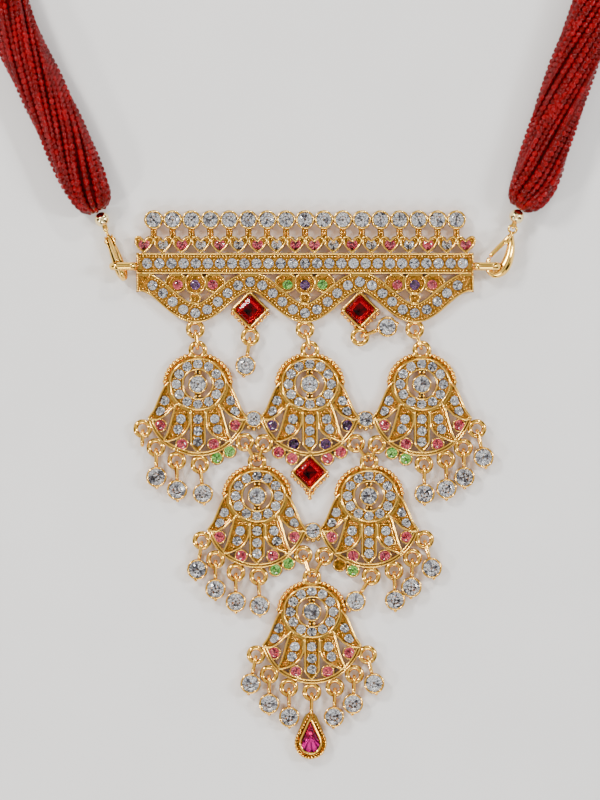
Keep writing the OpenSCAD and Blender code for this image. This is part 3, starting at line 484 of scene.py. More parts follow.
# Each stone's glass and its index, then its bright foil and its dull foil, a darker copy that paints
# shade onto some facets: two colours and a roughness
STONES = {}
for stone, foil, glass, ior, bright, dull in (
        ("clear", "silver", (0.96, 0.97, 1.0), 1.56, ((1.0, 1.0, 1.0), (0.86, 0.87, 0.90), 0.10),
         ((0.36, 0.36, 0.39), (0.12, 0.12, 0.15), 0.10)),
        ("pink", "pink", (1.0, 0.90, 0.93), 1.56, ((1.0, 0.50, 0.58), (0.95, 0.30, 0.40), 0.10),
         ((0.62, 0.14, 0.22), (0.34, 0.05, 0.10), 0.10)),
        ("green", "green", (0.88, 1.0, 0.82), 1.56,
         ((0.72, 0.98, 0.55), (0.50, 0.86, 0.38), 0.10),
         ((0.26, 0.56, 0.18), (0.12, 0.34, 0.08), 0.10)),
        ("violet", "violet", (0.92, 0.86, 0.96), 1.56,
         ((0.55, 0.40, 0.60), (0.32, 0.22, 0.38), 0.10),
         ((0.14, 0.08, 0.17), (0.05, 0.03, 0.07), 0.10)),
        ("ruby", "ruby", (1.0, 0.50, 0.56), 1.25, ((0.60, 0.0, 0.030), (0.40, 0.0, 0.016), 0.26),
         ((0.12, 0.0, 0.004), (0.02, 0.0, 0.001), 0.16)),
        ("magenta", "magenta", (1.0, 0.46, 0.86), 1.36,
         ((0.82, 0.008, 0.36), (0.62, 0.004, 0.25), 0.26),
         ((0.30, 0.003, 0.13), (0.12, 0.001, 0.05), 0.16))):
    STONES[stone + "_stone"] = (glass_material(stone + "_glass", glass, ior),
                                foil_material(foil + "_foil", *bright),
                                foil_material(foil + "_foil_painted_shade", *dull))
BEAD_RED = bead_material()


# Stones: each solid of a stone node is replaced by a finer cut of the same size

def islands(node):
    """Lowest and highest corner of each loose solid in a CAD node, in millimetres."""
    mesh = NODES[node].data
    co = np.empty(len(mesh.vertices) * 3)
    mesh.vertices.foreach_get("co", co)
    co = co.reshape(-1, 3) / MM
    _, ids = np.unique(np.round(co, 3), axis=0, return_inverse=True)
    ids = ids.ravel()
    parent = list(range(ids.max() + 1))

    def root(a):
        while parent[a] != a:
            parent[a] = parent[parent[a]]
            a = parent[a]
        return a

    for poly in mesh.polygons:
        vs = [ids[v] for v in poly.vertices]
        for b in vs[1:]:
            parent[root(vs[0])] = root(b)
    groups = {}
    for k, i in enumerate(ids):
        groups.setdefault(root(i), []).append(k)
    return [(co[g].min(0), co[g].max(0)) for g in groups.values()]


CUT_H = 1.10


def brilliant(turn):
    """A round cut of radius 1, height CUT_H and with its culet at z = 0: sets of facets, and
    0 for glass or 1 for foil by set."""
    def ring(r, n, z, shift=0.0):
        a = [2 * math.pi * (k + shift) / n + turn for k in range(n)]
        return [(r * math.cos(b), r * math.sin(b), z) for b in a]

    pav, gir = 0.72, 0.82
    v = [(0, 0, 0)] + ring(0.45, 8, pav * 0.36) + ring(1.0, 16, pav) + ring(1.0, 16, gir)
    v += ring(0.80, 8, gir + 0.17) + ring(0.56, 8, CUT_H, 0.5)
    # The first vertex of the pavilion, the lower and upper girdle, the kites and the table
    P, L, G, K, T = 1, 9, 25, 41, 49
    k8, k16 = range(8), range(16)
    pavilion_q = [(0, P + (k + 1) % 8, L + (2 * k + 1), P + k) for k in k8]
    pavilion_t = [(P + k, L + (2 * k + 1) % 16, L + 2 * k) for k in k8]
    pavilion_t += [(P + k, L + 2 * k, L + (2 * k - 1) % 16) for k in k8]
    girdle = [(L + k, L + (k + 1) % 16, G + (k + 1) % 16, G + k) for k in k16]
    crown_t = [(K + k, G + 2 * k, G + (2 * k + 1) % 16) for k in k8]
    crown_t += [(K + k, G + (2 * k - 1) % 16, G + 2 * k) for k in k8]
    crown_t += [(T + k, K + (k + 1) % 8, T + (k + 1) % 8) for k in k8]
    kites = [(T + k, K + k, G + 2 * k + 1, K + (k + 1) % 8) for k in k8]
    table = [tuple(T + k for k in k8)]
    sets = [pavilion_q, pavilion_t, girdle, crown_t, kites, table]
    return np.array(v, float), sets, [1, 1, 0, 0, 0, 0]


def add_round_stone(soup, c, r, low, high, turn):
    """A brilliant, with the dull foil, painted shade, behind some of its facets."""
    v, sets, mats = brilliant(turn)
    groups = {}
    for facets, mat in zip(sets, mats):
        for f in facets:
            # About a sixth of the foiled facets take the dull foil instead: painted shade.
            kind = mat if mat == 0 or rng.random() < 0.84 else 2
            groups.setdefault((len(f), kind), []).append(f)
    v = v * np.array([r, r, (high - low) / CUT_H]) + np.array([c[0], c[1], low])
    soup.add(v, groups.values(), [kind for _, kind in groups], False)


def cut_stone(soup, outline, c, low, high, table, core, painted_shade_shares):
    """A stone of any outline: a stepped crown, a girdle and a foiled pavilion in two steps, with
    these shares of the dull foil, painted shade. core and table are shares of the outline."""
    o = np.asarray(outline, float)
    n, h = len(o), high - low
    layers = [(core, 0.30), (1.0, 0.66), (1.0, 0.74), (0.82, 0.90), (table, 1.0)]
    v = [np.array([[c[0], c[1], low]])]
    v += [np.column_stack([o * k + c, np.full(n, low + z * h)]) for k, z in layers]
    k = np.arange(n)
    sets, mats = [], []

    def foiled(facets, share):
        # Facets picked at this share take the dull foil: painted shade.
        dull = rng.random(n) < share
        sets.extend([facets[dull], facets[~dull]])
        mats.extend([2, 1])

    foiled(np.stack([np.zeros(n, int), 1 + (k + 1) % n, 1 + k], 1), painted_shade_shares[0])
    for i in range(len(layers) - 1):
        a, b = 1 + i * n + k, 1 + i * n + (k + 1) % n
        band = np.stack([a, b, b + n, a + n], 1)
        if i == 0:
            foiled(band, painted_shade_shares[1])
        else:
            sets.append(band)
            mats.append(0)
    sets.append([tuple(1 + (len(layers) - 1) * n + k)])
    soup.add(np.vstack(v), sets, mats + [0], False)


ROUND_NODES = {
    "top_stones": "clear_stone", "heart_stones_clear": "clear_stone",
    "heart_stones_pink": "pink_stone", "bar_stones": "clear_stone", "wave_stones": "clear_stone",
    "bell_main_stones": "clear_stone", "pink_stones": "pink_stone",
    "green_stones": "green_stone", "violet_stones": "violet_stone", "drop_stones": "clear_stone",
}
round_places = {}
for node, slot in ROUND_NODES.items():
    soup = Soup()
    round_places[node] = []
    for lo, hi in islands(node):
        c, r = (lo[:2] + hi[:2]) / 2, max(hi[0] - lo[0], hi[1] - lo[1]) / 2 * 1.02
        add_round_stone(soup, c, r, lo[2], hi[2], rng.uniform(0, math.pi))
        round_places[node].append(c)
    piece = soup.make("cut_" + node, STONES[slot], slot)
    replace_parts(piece, node)

RUBY_CORNER = 0.35
for node in ("ruby_left", "ruby_right", "ruby_centre"):
    (lo, hi), = islands(node)
    c, x = (lo[:2] + hi[:2]) / 2, (hi[0] - lo[0]) / 2 - RUBY_CORNER
    outline = []
    for a in np.radians((0, 90, 180, 270)):
        for y in (-RUBY_CORNER, RUBY_CORNER):
            outline.append((x * math.cos(a) - y * math.sin(a), x * math.sin(a) + y * math.cos(a)))
    soup = Soup()
    # All the ruby's lowest facets take the dull foil, a painted dark centre; the step round them
    # takes the bright foil.
    cut_stone(soup, outline, c, lo[2], hi[2], 0.56, 0.50, (1, 0))
    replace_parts(soup.make("cut_" + node, STONES["ruby_stone"], "ruby_stone"), node)

(lo, hi), = islands("pear_stone")
pear_c = (lo[:2] + hi[:2]) / 2
soup = Soup()
# The pear's lowest facets take the dull foil at a share of 0.45 and its next step at 0.35: painted
# shade.
cut_stone(soup, pear(PEAR_W, PEAR_H, 14), pear_c, lo[2], hi[2], 0.58, 0.42, (0.45, 0.35))
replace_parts(soup.make("cut_pear_stone", STONES["magenta_stone"], "magenta_stone"), "pear_stone")

# The small stones of the bells fill the seats that the castings carry
pave = Soup()
pave_places = []
RING_STONES, COLUMN_STONES = 12, (-8.75, -11.7, -14.4)
PAVE_A_BELL = RING_STONES + len(COLUMN_STONES) + 2 * len(PAVE)
for row, i, c in all_bells():
    ring = np.arange(RING_STONES) * math.pi / 6
    places = [(RING_RX * math.cos(a), RING_RY * math.sin(a)) for a in ring]
    places += [(0, y) for y in COLUMN_STONES]
    places += [(s * x * SKIRT_R, y * SKIRT_R) for x, y in PAVE for s in (-1, 1)]
    for p in places:
        pave_places.append(c + p)
        add_round_stone(pave, c + p, PAVE_R, BACK_T + CULET_GAP, PAVE_TOP,
                        rng.uniform(0, math.pi))
pave.make("bell_pave_stones", STONES["clear_stone"], "clear_stone")


# Gold work on the plate

def bezel_ring(soup, c, outer_d, inner_d, z):
    """A bezel's rolled edge."""
    small = (outer_d - inner_d) / 4 + 0.03
    v, sets = torus_proto((outer_d + inner_d) / 4, small)
    soup.add(v + np.array([c[0], c[1], z - small * 0.55]), sets)


def slab(soup, outline, c, hole_r, z0, z1):
    """A flat plate of an outline round c, with a round hole."""
    hole = hole_r * outline / np.linalg.norm(outline, axis=1)[:, None]
    v = [at_z(line + c, z) for line, z in ((outline, z0), (outline, z1), (hole, z1), (hole, z0))]
    soup.add(np.vstack(v), [ring_faces(4, len(outline), True)], 0, False)


def ground_grains(low, high, mask, obstacles, r, pitch):
    """Places for fine grains over a ground, clear of the obstacles (x, y, radius)."""
    xs, ys = np.arange(low[0], high[0], pitch), np.arange(low[1], high[1], pitch * 0.87)
    p = np.array([(x + (pitch / 2 if j % 2 else 0), y) for j, y in enumerate(ys) for x in xs])
    p = p + rng.uniform(-0.04, 0.04, p.shape)
    p = p[mask(p)]
    o = np.asarray(obstacles)
    d = np.hypot(p[:, None, 0] - o[None, :, 0], p[:, None, 1] - o[None, :, 1])
    return p[(d > o[None, :, 2] + r - 0.02).all(1)]


def rounds(places, r):
    return [(p[0], p[1], r) for p in places]


def four_grains(soup, places, r_stone, z, r, out, turn=45.0):
    """Four grains round each stone, which hold it."""
    reach = r_stone + out
    turns = [math.radians(turn + 90 * k) for k in range(4)]
    balls(soup, [(p[0] + reach * math.cos(a), p[1] + reach * math.sin(a), z)
                 for p in places for a in turns], r)


plate_work, foot_work = Soup(), Soup()
MILGRAIN_R, MILGRAIN_PITCH, MILGRAIN_RISE = 0.39, 0.80, 0.22
GAP_GRAIN_R, GAP_GRAIN_RISE = 0.30, 0.16
for s in (-1, 1):
    edge = np.linspace(-HALF_L + RIM_MID, HALF_L - RIM_MID, 60)
    rim_wire(plate_work, [(x, s * (HALF_W - RIM_MID)) for x in edge])
    row = np.arange(-HALF_L + 0.9, HALF_L - 0.8, MILGRAIN_PITCH)
    grains(plate_work, [(x, s * 1.80) for x in row], MILGRAIN_RISE, MILGRAIN_R)
for s in (-1, 1):
    edge = np.linspace(-HALF_W + RIM_MID, HALF_W - RIM_MID, 6)
    rim_wire(plate_work, [(s * (HALF_L - RIM_MID), y) for y in edge])
    row = np.arange(-1.3, 1.4, 0.52)
    grains(plate_work, [(s * (HALF_L - 0.85), y) for y in row], 0.1, 0.27, 0.9)
bar_gaps = [(i - (BAR_STONES - 1) / 2 + 0.5) * BAR_PITCH for i in range(BAR_STONES - 1)]
grains(plate_work, [(x, s * 0.95) for x in bar_gaps for s in (-1, 1)],
       GAP_GRAIN_RISE, GAP_GRAIN_R, 1.1)

xs = np.linspace(-HALF_L, HALF_L, 240)
slope = WAVE_RISE * 2 * np.pi / WAVE_PITCH * np.sin(2 * np.pi * xs / WAVE_PITCH)
normal = np.stack([-slope, np.ones_like(slope)], 1) / np.sqrt(1 + slope ** 2)[:, None]
spine = np.stack([xs, wave_at(xs)], 1)
taken = []
for s in (-1, 1):
    edge = spine + normal * s * (WAVE_W / 2 - RIM_MID)
    kept = (np.abs(edge[:, 0]) < HALF_L - RIM_MID + 0.01) & (edge[:, 1] < -HALF_W - 0.05)
    for run in open_runs(edge, kept):
        rim_wire(plate_work, spaced(run, 0.5, False))
    line = spine + normal * s * (WAVE_W / 2 - RIM_INSET - RIM_W - 0.30)
    kept = (np.abs(line[:, 0]) < HALF_L - 0.8) & (line[:, 1] < -HALF_W - 0.3)
    for run in open_runs(line, kept):
        row = spaced(run, MILGRAIN_PITCH, False)
        grains(plate_work, row, MILGRAIN_RISE, MILGRAIN_R)
        taken += rounds(row, MILGRAIN_R)
for s in (-1, 1):
    edge = np.linspace(-HALF_W - 0.3, -WAVE_Y + 1.6, 8)
    rim_wire(plate_work, [(s * (HALF_L - RIM_MID), y) for y in edge])
order = sorted(round_places["wave_stones"], key=lambda c: c[0])
for a, b in zip(order, order[1:]):
    mid, d = (a + b) / 2, (b - a) / np.linalg.norm(b - a)
    pair = [mid + s * 0.92 * np.array([-d[1], d[0]]) for s in (-1, 1)]
    grains(plate_work, pair, GAP_GRAIN_RISE, GAP_GRAIN_R, 1.1)
    taken += rounds(pair, GAP_GRAIN_R)
taken += rounds(order, 1.24)


def off_wave(p):
    """Distance from the wave's middle line."""
    return np.hypot(p[:, None, 0] - spine[None, :, 0], p[:, None, 1] - spine[None, :, 1]).min(1)


def on_wave(p):
    inside = (np.abs(p[:, 0]) < HALF_L - 0.7) & (p[:, 1] < -HALF_W - 0.75)
    return (off_wave(p) < WAVE_W / 2 - 0.75) & inside


fill = ground_grains((-HALF_L, -15), (HALF_L, -HALF_W), on_wave, taken, 0.26, 0.58)
grains(plate_work, fill, 0.06, 0.26)

outline = heart(HEART_W, HEART_H)
for i in range(HEARTS):
    c = np.array([(i - (HEARTS - 1) / 2) * HEART_PITCH, HEART_Y])
    slab(plate_work, inset(outline, 0.05), c, 1.32, 0.7, CAST_T + 0.03)
    rim_wire(plate_work, inset(outline, RIM_MID) + c, 0.29, closed=True)
    lobes = [(c[0] + s * 1.25, c[1] + 1.3) for s in (-1, 1)] + [(c[0], c[1] - 1.5)]
    grains(plate_work, lobes, 0.16, 0.30, 0.9)
    taken = rounds(lobes, 0.30) + [(c[0], c[1] + 0.05, 1.36)]
    inner = inset(outline, 0.72) + c
    fill = ground_grains(c - 2.5, c + 2.5, lambda p: in_outline(p, inner), taken, 0.24, 0.54)
    grains(plate_work, fill, 0.07, 0.24)
for c in round_places["top_stones"]:
    bezel_ring(plate_work, c, TOP_BEZEL_D - 0.08, 3.72, bezel_top(3.6) + 0.05)
    stem = [(c[0] + s * 0.36, c[1] + y) for y in (-2.75, -3.3, -3.85) for s in (-1, 1)]
    grains(plate_work, stem, 0.05, 0.36, 0.9)

# A trefoil over each trough of the wave: an arch, two petals and a tip
GRAIN_INSET, GRAIN_PITCH = 0.85, 0.55
for i in range(WAVES):
    cx = (i - (WAVES - 1) / 2) * WAVE_PITCH
    arch_c = (cx, PETAL_Y - 0.1)
    arch = ellipse(ARCH_W / 2 - RIM_MID, ARCH_H / 2 - RIM_MID, 48, arch_c)
    for run in runs(arch, arch[:, 1] < -HALF_W - 0.1):
        rim_wire(plate_work, run, 0.27, 0.05)
    inner = ellipse(ARCH_W / 2 - GRAIN_INSET, ARCH_H / 2 - GRAIN_INSET, 48, arch_c)
    inner = inner[inner[:, 1] < -HALF_W - 0.4]
    grains(plate_work, spaced(inner, GRAIN_PITCH), 0.08, 0.24, 0.9)

    def off_arch(p, grow):
        x, y = p[:, 0] - cx, p[:, 1] - PETAL_Y + 0.1
        return oval(x, y, ARCH_W / 2 + grow, ARCH_H / 2 + grow)

    for s in (-1, 1):
        a = math.radians(s * -8)
        side = ellipse(PETAL_W / 2, PETAL_H / 2, 44)
        rot = np.array([[math.cos(a), math.sin(a)], [-math.sin(a), math.cos(a)]])
        for d in (RIM_MID, GRAIN_INSET):
            line = inset(side, d) @ rot + np.array([cx + s * PETAL_X, PETAL_Y])
            clear = (off_arch(line, 0.1) > 1) & (off_wave(line) > WAVE_W / 2 - 0.2)
            for run in runs(line, clear & (line[:, 1] < -HALF_W - 0.1)):
                if d == RIM_MID:
                    rim_wire(plate_work, run)
                else:
                    grains(plate_work, spaced(run, GRAIN_PITCH, False), 0.08, 0.24, 0.9)
    tip = ellipse(TIP_W / 2 - RIM_MID, TIP_H / 2 - RIM_MID, 24, (cx, TIP_Y))
    rim_wire(plate_work, tip, closed=True)
    stones = [(cx + k * 4.35, -HALF_W - 2.7, 1.62) for k in (-1, 0, 1)]

    def on_trefoil(p):
        arch_r = off_arch(p, 0)
        side_r = oval(np.abs(p[:, 0] - cx) - PETAL_X, p[:, 1] - PETAL_Y,
                      PETAL_W / 2 - 1.05, PETAL_H / 2 - 1.05)
        below = p[:, 1] < -HALF_W - 0.35
        return below & ((arch_r < 0.36) | ((side_r < 1) & (arch_r > 1.25)))

    fill = ground_grains((cx - 8, -8.5), (cx + 8, -HALF_W), on_trefoil, stones, 0.25, 0.56)
    grains(plate_work, fill, 0.07, 0.25)
    grains(plate_work, [(cx, TIP_Y + y) for y in (-0.55, 0.05, 0.65)], 0.15, 0.32, 0.9)

FOOT_Z = 1.1


def diamond_work(soup, c):
    """A ruby's rolled bezel, and the grains along its lower sides."""
    w = (DIAMOND_R + RUBY_R) / 2 - 0.05
    corners = np.array([(w, 0), (0, w), (-w, 0), (0, -w)]) + c
    tube(soup, at_z(spaced(corners, 0.7), bezel_top(RUBY_R) - 0.08), 0.30)
    pts, reach = [], DIAMOND_R + 0.15
    for s in (-1, 1):
        for k in range(1, 6):
            t = k / 6.2
            p = c + np.array([s * reach * (1 - t), -reach * t])
            pts.append((p[0] + s * 0.12, p[1] - 0.12, FOOT_Z))
    balls(foot_work, pts, 0.58, 0.9, FOOT_GRAIN)


for s in (-1, 1):
    diamond_work(plate_work, np.array([s * WAVE_PITCH / 2, DIAMOND_Y]))
small = round_places["green_stones"] + round_places["pink_stones"] + round_places["violet_stones"]
four_grains(plate_work, [c for c in small if c[1] > -8], 1.25, CAST_T + 0.12, 0.24, 0.10)
plate_work.make("plate_gold_work", [GOLD], "gold")


# Gold work on the bells

def outside_ellipse(p, rx, ry):
    return oval(p[:, 0], p[:, 1], rx, ry) > 1


bell_work = Soup()
skirt_c = np.array([0, -SKIRT_DROP])
wing = closed_curve(np.array(WING) * SKIRT_R)
petal = closed_curve(np.array(PETAL) * SKIRT_R)
# An outline, then its wire's inset, height, radius and sides, and its gaps to the disc and middle
BELL_WIRES = (
    (wing, RIM_MID, RIM_TOP - 0.05, 0.32, 8, 0, 0),
    (wing, 0.80, CAST_T + 0.10, 0.17, 6, 0.4, 0),
    (petal, RIM_MID, RIM_TOP - 0.05, 0.32, 8, 0, COLUMN_W / 2 - 0.1),
    (petal, 0.88, CAST_T + 0.10, 0.15, 6, 0.4, COLUMN_W / 2 + 0.3),
)
PETAL_GRAINS = ((0.40, -0.99), (0.48, -1.03), (0.27, -0.52), (0.37, -0.47))
SHIELD_GRAINS = [math.radians(90 + s * (14 + k * 7.9)) for s in (-1, 1) for k in range(10)]
for row, i, c in all_bells():
    disc = ellipse(DISC_W / 2 - RIM_MID, DISC_H / 2 - RIM_MID, 64, c)
    rim_wire(bell_work, disc, 0.29, 0.05, True)
    hole = ellipse(HOLE_D / 2 + RIM_MID, HOLE_D / 2 + RIM_MID, 40, c)
    rim_wire(bell_work, hole, 0.27, 0.05, True)
    for a in [math.radians(30 * k + 15) for k in range(12)]:
        pair = [(c[0] + rx * math.cos(a), c[1] + ry * math.sin(a)) for rx, ry in (
            (RING_RX - 0.78, RING_RY - 0.74), (RING_RX + 0.80, RING_RY + 0.76))]
        grains(bell_work, pair, 0.14, 0.30, 1.1)
    for s in (-1, 1):
        for outline, d, z, r, sides, gap, least in BELL_WIRES:
            line = inset(outline, d) * np.array([s, 1])
            keep = outside_ellipse(line, DISC_W / 2 + gap, DISC_H / 2 + gap)
            for run in runs(line, keep & (np.abs(line[:, 0]) > least)):
                tube(bell_work, at_z(run + c, z), r, False, sides)
        low = [(c[0] + s * x * SKIRT_R, c[1] + y * SKIRT_R) for x, y in PETAL_GRAINS]
        grains(bell_work, low, 0.1, 0.30, 0.9)
    w, low = COLUMN_W / 2 - RIM_MID, SKIRT_DROP + SKIRT_R
    column = [(w, -DISC_H / 2 - 0.1), (w, -low + 3.05), (0, -low + 1.05), (-w, -low + 3.05),
              (-w, -DISC_H / 2 - 0.1)]
    rim_wire(bell_work, spaced(column, 0.5, False) + c)
    gaps = [(c[0] + s * 1.05, c[1] + y) for y in (-7.45, -10.2, -13.05) for s in (-1, 1)]
    grains(bell_work, gaps, 0.12, 0.27, 0.9)
    half = 90 - math.degrees(math.asin((-WING_TIP[1] - SKIRT_DROP) / SKIRT_R))
    for r in (SKIRT_R - RIM_MID, SKIRT_R - SKIRT_BAND + RIM_MID):
        rim_wire(bell_work, ellipse(r, r, 72, skirt_c + c, -90 - half, -90 + half))
    grains(foot_work, [(c[0] + (SHIELD_W / 2 - 0.34) * math.cos(a),
                        c[1] + (SHIELD_H / 2 - 0.32) * math.sin(a)) for a in SHIELD_GRAINS],
           -0.05, 0.63, proto=NUB)
    bezel_ring(bell_work, c, CENTRE_BEZEL_D - 0.08, 4.02, bezel_top(3.9) + 0.02)
    cells = [c + np.array([s * p[0], p[1]]) * SKIRT_R for p in CELLS for s in (-1, 1)]
    cells += [c + rim_at(GEM_REACH, a) for a, kind in RIMS[row][i] if kind in (1, 2, 3)]
    for p in cells:
        bezel_ring(bell_work, p, CELL_BEZEL_D - 0.08, 2.72, bezel_top(2.6) + 0.02)
    if any(kind == 4 for _, kind in RIMS[row][i]):
        d = c + np.array([0, -SKIRT_DROP - SKIRT_R - DIAMOND_R + 0.9])
        diamond_work(bell_work, d)
        tip = [(0, 0.15), (0, -0.75), (-0.7, -0.25), (0.7, -0.25), (0, -1.55)]
        balls(foot_work, [(d[0] + x, d[1] - DIAMOND_R + y, FOOT_Z) for x, y in tip],
              0.55, 0.9, FOOT_GRAIN)
    if i < BELLS[row] - 1:
        j = c + np.array([BELL_PITCH / 2, JOINT_Y])
        bezel_ring(bell_work, j, JOINT_BEZEL_D - 0.08, 3.52, bezel_top(3.4) + 0.02)
        reach = JOINT_BEZEL_D / 2 + 0.3
        balls(foot_work, [(j[0] + reach * math.sin(a), j[1] - reach * math.cos(a), 1.2)
                          for a in [math.radians(t) for t in range(-64, 65, 32)]],
              0.64, 0.95, JOINT_GRAIN)
four_grains(bell_work, pave_places, PAVE_R, CAST_T + 0.12, 0.25, 0.12)


def on_bell(p):
    far = outside_ellipse(p, DISC_W / 2 + 0.4, DISC_H / 2 + 0.4)
    half = np.column_stack([np.abs(p[:, 0]), p[:, 1]])
    x, y = half.T
    wings = in_outline(half, inset(wing, 1.12)) & far
    petals = in_outline(half, inset(petal, 1.05)) & far & (x > COLUMN_W / 2 + 0.45)
    middle = (x < COLUMN_W / 2 - 0.72) & (y < -DISC_H / 2 - 0.45) & (y > -15.4)
    disc = ~outside_ellipse(p, DISC_W / 2 - 0.75, DISC_H / 2 - 0.75)
    disc &= outside_ellipse(p, HOLE_D / 2 + 0.75, HOLE_D / 2 + 0.75)
    return wings | petals | middle | disc


bell_stones = pave_places[:PAVE_A_BELL] - bell_at(0, 0)
taken = rounds(bell_stones, PAVE_R + 0.02)
taken += [(p[0] + 1.31 * math.cos(a), p[1] + 1.31 * math.sin(a), 0.22)
          for p in bell_stones for a in np.radians((45, 135, 225, 315))]
taken += [(s * x * SKIRT_R, y * SKIRT_R, CELL_BEZEL_D / 2) for x, y in CELLS for s in (-1, 1)]
fill = ground_grains((-SKIRT_R, -16), (SKIRT_R, 8), on_bell, taken, 0.24, 0.54)
for row, i, c in all_bells():
    grains(bell_work, fill + c, 0.07, 0.24)
    posts = [(c[0] + x, c[1] + y) for x in (-0.5, 0.5) for y in (-2.95, 2.95)]
    grains(bell_work, posts, 0.35, 0.46, proto=BIG_GRAIN)
bell_work.make("bell_gold_work", [GOLD], "gold")

# Round loops over the castings' flat ones
loops = Soup()
loop_places = [((i - 1) * WAVE_PITCH, TROUGH_LOOP_Y) for i in range(WAVES)]
loop_places += [(s * WAVE_PITCH / 2, DIAMOND_LOOP_Y) for s in (-1, 1)]
for row, i, c in all_bells():
    loop_places.append((c[0], c[1] + LOOP_RISE))
    loop_places += [tuple(c + rim_at(LOOP_REACH, a)) for a, kind in RIMS[row][i] if kind == 0]
ring = torus_proto((LOOP_D + LOOP_HOLE_D) / 4 - 0.04, 0.64, 32, 12)
for p in loop_places:
    loops.add(ring[0] + np.array([p[0], p[1], CAST_T]), ring[1])
loops.make("round_loops", [WIRE_GOLD], "gold")

# Links and bails of round wire, each a closed loop that stands on edge
END_REACH, WIRE_R, BEND_R, SIDE_SHIFT = 1.6, 0.48, 1.1, 0.28
# Drops: row, bell, place on the rim and swing from straight down
RIM_DROPS = (
    (0, 0, 1, 1), (0, 0, 2, 1), (0, 0, 3, 6), (0, 2, 3, 1), (0, 2, 4, 1), (0, 2, 5, 2),
    (0, 2, 6, 13), (1, 0, 0, -9), (1, 0, 1, 0), (1, 0, 2, 0), (1, 0, 3, 2), (1, 1, 3, -32),
    (1, 1, 4, 2), (1, 1, 5, -2), (1, 1, 6, 14), (2, 0, 0, -11), (2, 0, 1, 0), (2, 0, 2, 1),
    (2, 0, 4, -2), (2, 0, 5, -3), (2, 0, 6, 13),
)


def wire_loop(soup, a, u, length):
    """A closed loop of wire from the hole at a, along u, whose straight part has this length."""
    t = np.linspace(-math.pi / 2, math.pi / 2, 12)
    path = [(END_REACH + length + BEND_R * math.cos(q), BEND_R * math.sin(q)) for q in t]
    path += [(END_REACH - BEND_R * math.cos(q), -BEND_R * math.sin(q)) for q in t]
    n = np.array([-u[1], u[0]])
    tube(soup, at_z(spaced(path, 0.32), 0), WIRE_R, True, 12, 1.0, lambda v: np.column_stack([
        a[0] + u[0] * v[:, 0] + n[0] * v[:, 2], a[1] + u[1] * v[:, 0] + n[1] * v[:, 2],
        CAST_T + v[:, 1]]))


def rim_loop(row, i, k):
    return bell_at(row, i) + rim_at(LOOP_REACH, RIMS[row][i][k][0])


def hung(swing):
    a = math.radians(swing)
    return np.array([math.sin(a), -math.cos(a)])


link_ends = [(np.array([(i - 1) * WAVE_PITCH, TROUGH_LOOP_Y]), bell_at(0, i) + [0, LOOP_RISE])
             for i in range(BELLS[0])]
link_ends += [(rim_loop(row - 1, i + s, 6 if s == 0 else 0),
               bell_at(row, i) + [(2 * s - 1) * SIDE_SHIFT, LOOP_RISE])
              for row in (1, 2) for i in range(BELLS[row]) for s in (0, 1)]
soup = Soup()
for a, b in link_ends:
    l = np.linalg.norm(b - a)
    wire_loop(soup, a, (b - a) / l, l - 2 * END_REACH)
links = soup.make("link_wires", [WIRE_GOLD], "gold")
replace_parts(links, *["link_%d" % (i + 1) for i in range(len(link_ends))])
bails = Soup()
bail_l = DROP_L - DROP_D / 2 + 0.4 - END_REACH - 1.5
pear_bail_l = PEAR_L - PEAR_H / 2 - PEAR_BORDER + 0.9 - END_REACH - 1.5
for row, i, k, swing in RIM_DROPS:
    wire_loop(bails, rim_loop(row, i, k), hung(swing), bail_l)
for s, swing in ((-1, -9), (1, 110)):
    wire_loop(bails, np.array([s * WAVE_PITCH / 2, DIAMOND_LOOP_Y]), hung(swing), bail_l)
wire_loop(bails, rim_loop(0, 0, 0), hung(-2), bail_l - 0.6)
wire_loop(bails, rim_loop(2, 0, 3), hung(-1.6), pear_bail_l)
bails.make("bail_wires", [WIRE_GOLD], "gold")

# Drops: a rolled rim, four grains round the stone and a nub at the foot of each
drop_work = Soup()
nubs = []
for c in round_places["drop_stones"]:
    hole = min(loop_places, key=lambda q: abs(math.hypot(q[0] - c[0], q[1] - c[1]) - DROP_L))
    d = (c - np.array(hole)) / DROP_L
    nubs.append((*(c + d * (DROP_D / 2 + 0.15)), 1.5))
    bezel_ring(drop_work, c, DROP_D - 0.02, 4.22, DROP_H + 0.06)
    four_grains(drop_work, [c], 2.0, DROP_H, 0.2, 0.08, rng.uniform(0, 90))
balls(foot_work, nubs, 0.42, 1.0, NUB)
foot_work.make("foot_grains", [WIRE_GOLD], "gold")
# The pear drop: an outer and an inner row of grains, and a rolled edge round its stone
pear_line = pear(PEAR_W, PEAR_H)
for out, pitch, r, z in ((1.42, 0.80, 0.40, RIM_TOP - 0.03), (0.92, 0.56, 0.29, CAST_T + 0.15)):
    pear_edge = spaced(inset(pear_line, -out), pitch) + pear_c
    balls(drop_work, at_z(pear_edge, z), r, 1.0, FOOT_GRAIN)
pear_edge = spaced(inset(pear_line, -0.3), 0.5) + pear_c
tube(drop_work, at_z(pear_edge, bezel_top(PEAR_W) + 0.1), 0.27)
drop_work.make("drop_gold_work", [WIRE_GOLD], "gold")

# Materials of the nodes that keep their own meshes
REPLACED = ("ruby", "clasp", "lever", "end_bead", "pear_stone", "strand_bundle")
for name, o in NODES.items():
    if name not in ROUND_NODES and not name.startswith(REPLACED):
        for s in o.material_slots:
            s.material = WIRE_GOLD if name.startswith(("link", "bail")) else GOLD


# The clasps: a rounded body with its spine, hook, cheeks and eye, a lever that rides on its own
# body, and the end bead beyond the eye. Each clasp has a place for its eye and a turn.

CLASP_LEFT = ((-BAR_L / 2 - 7.4, 7.9, 1.86), 20.5)
CLASP_RIGHT = ((BAR_L / 2 + 9.65, 8.5, 3.5), -17.2)
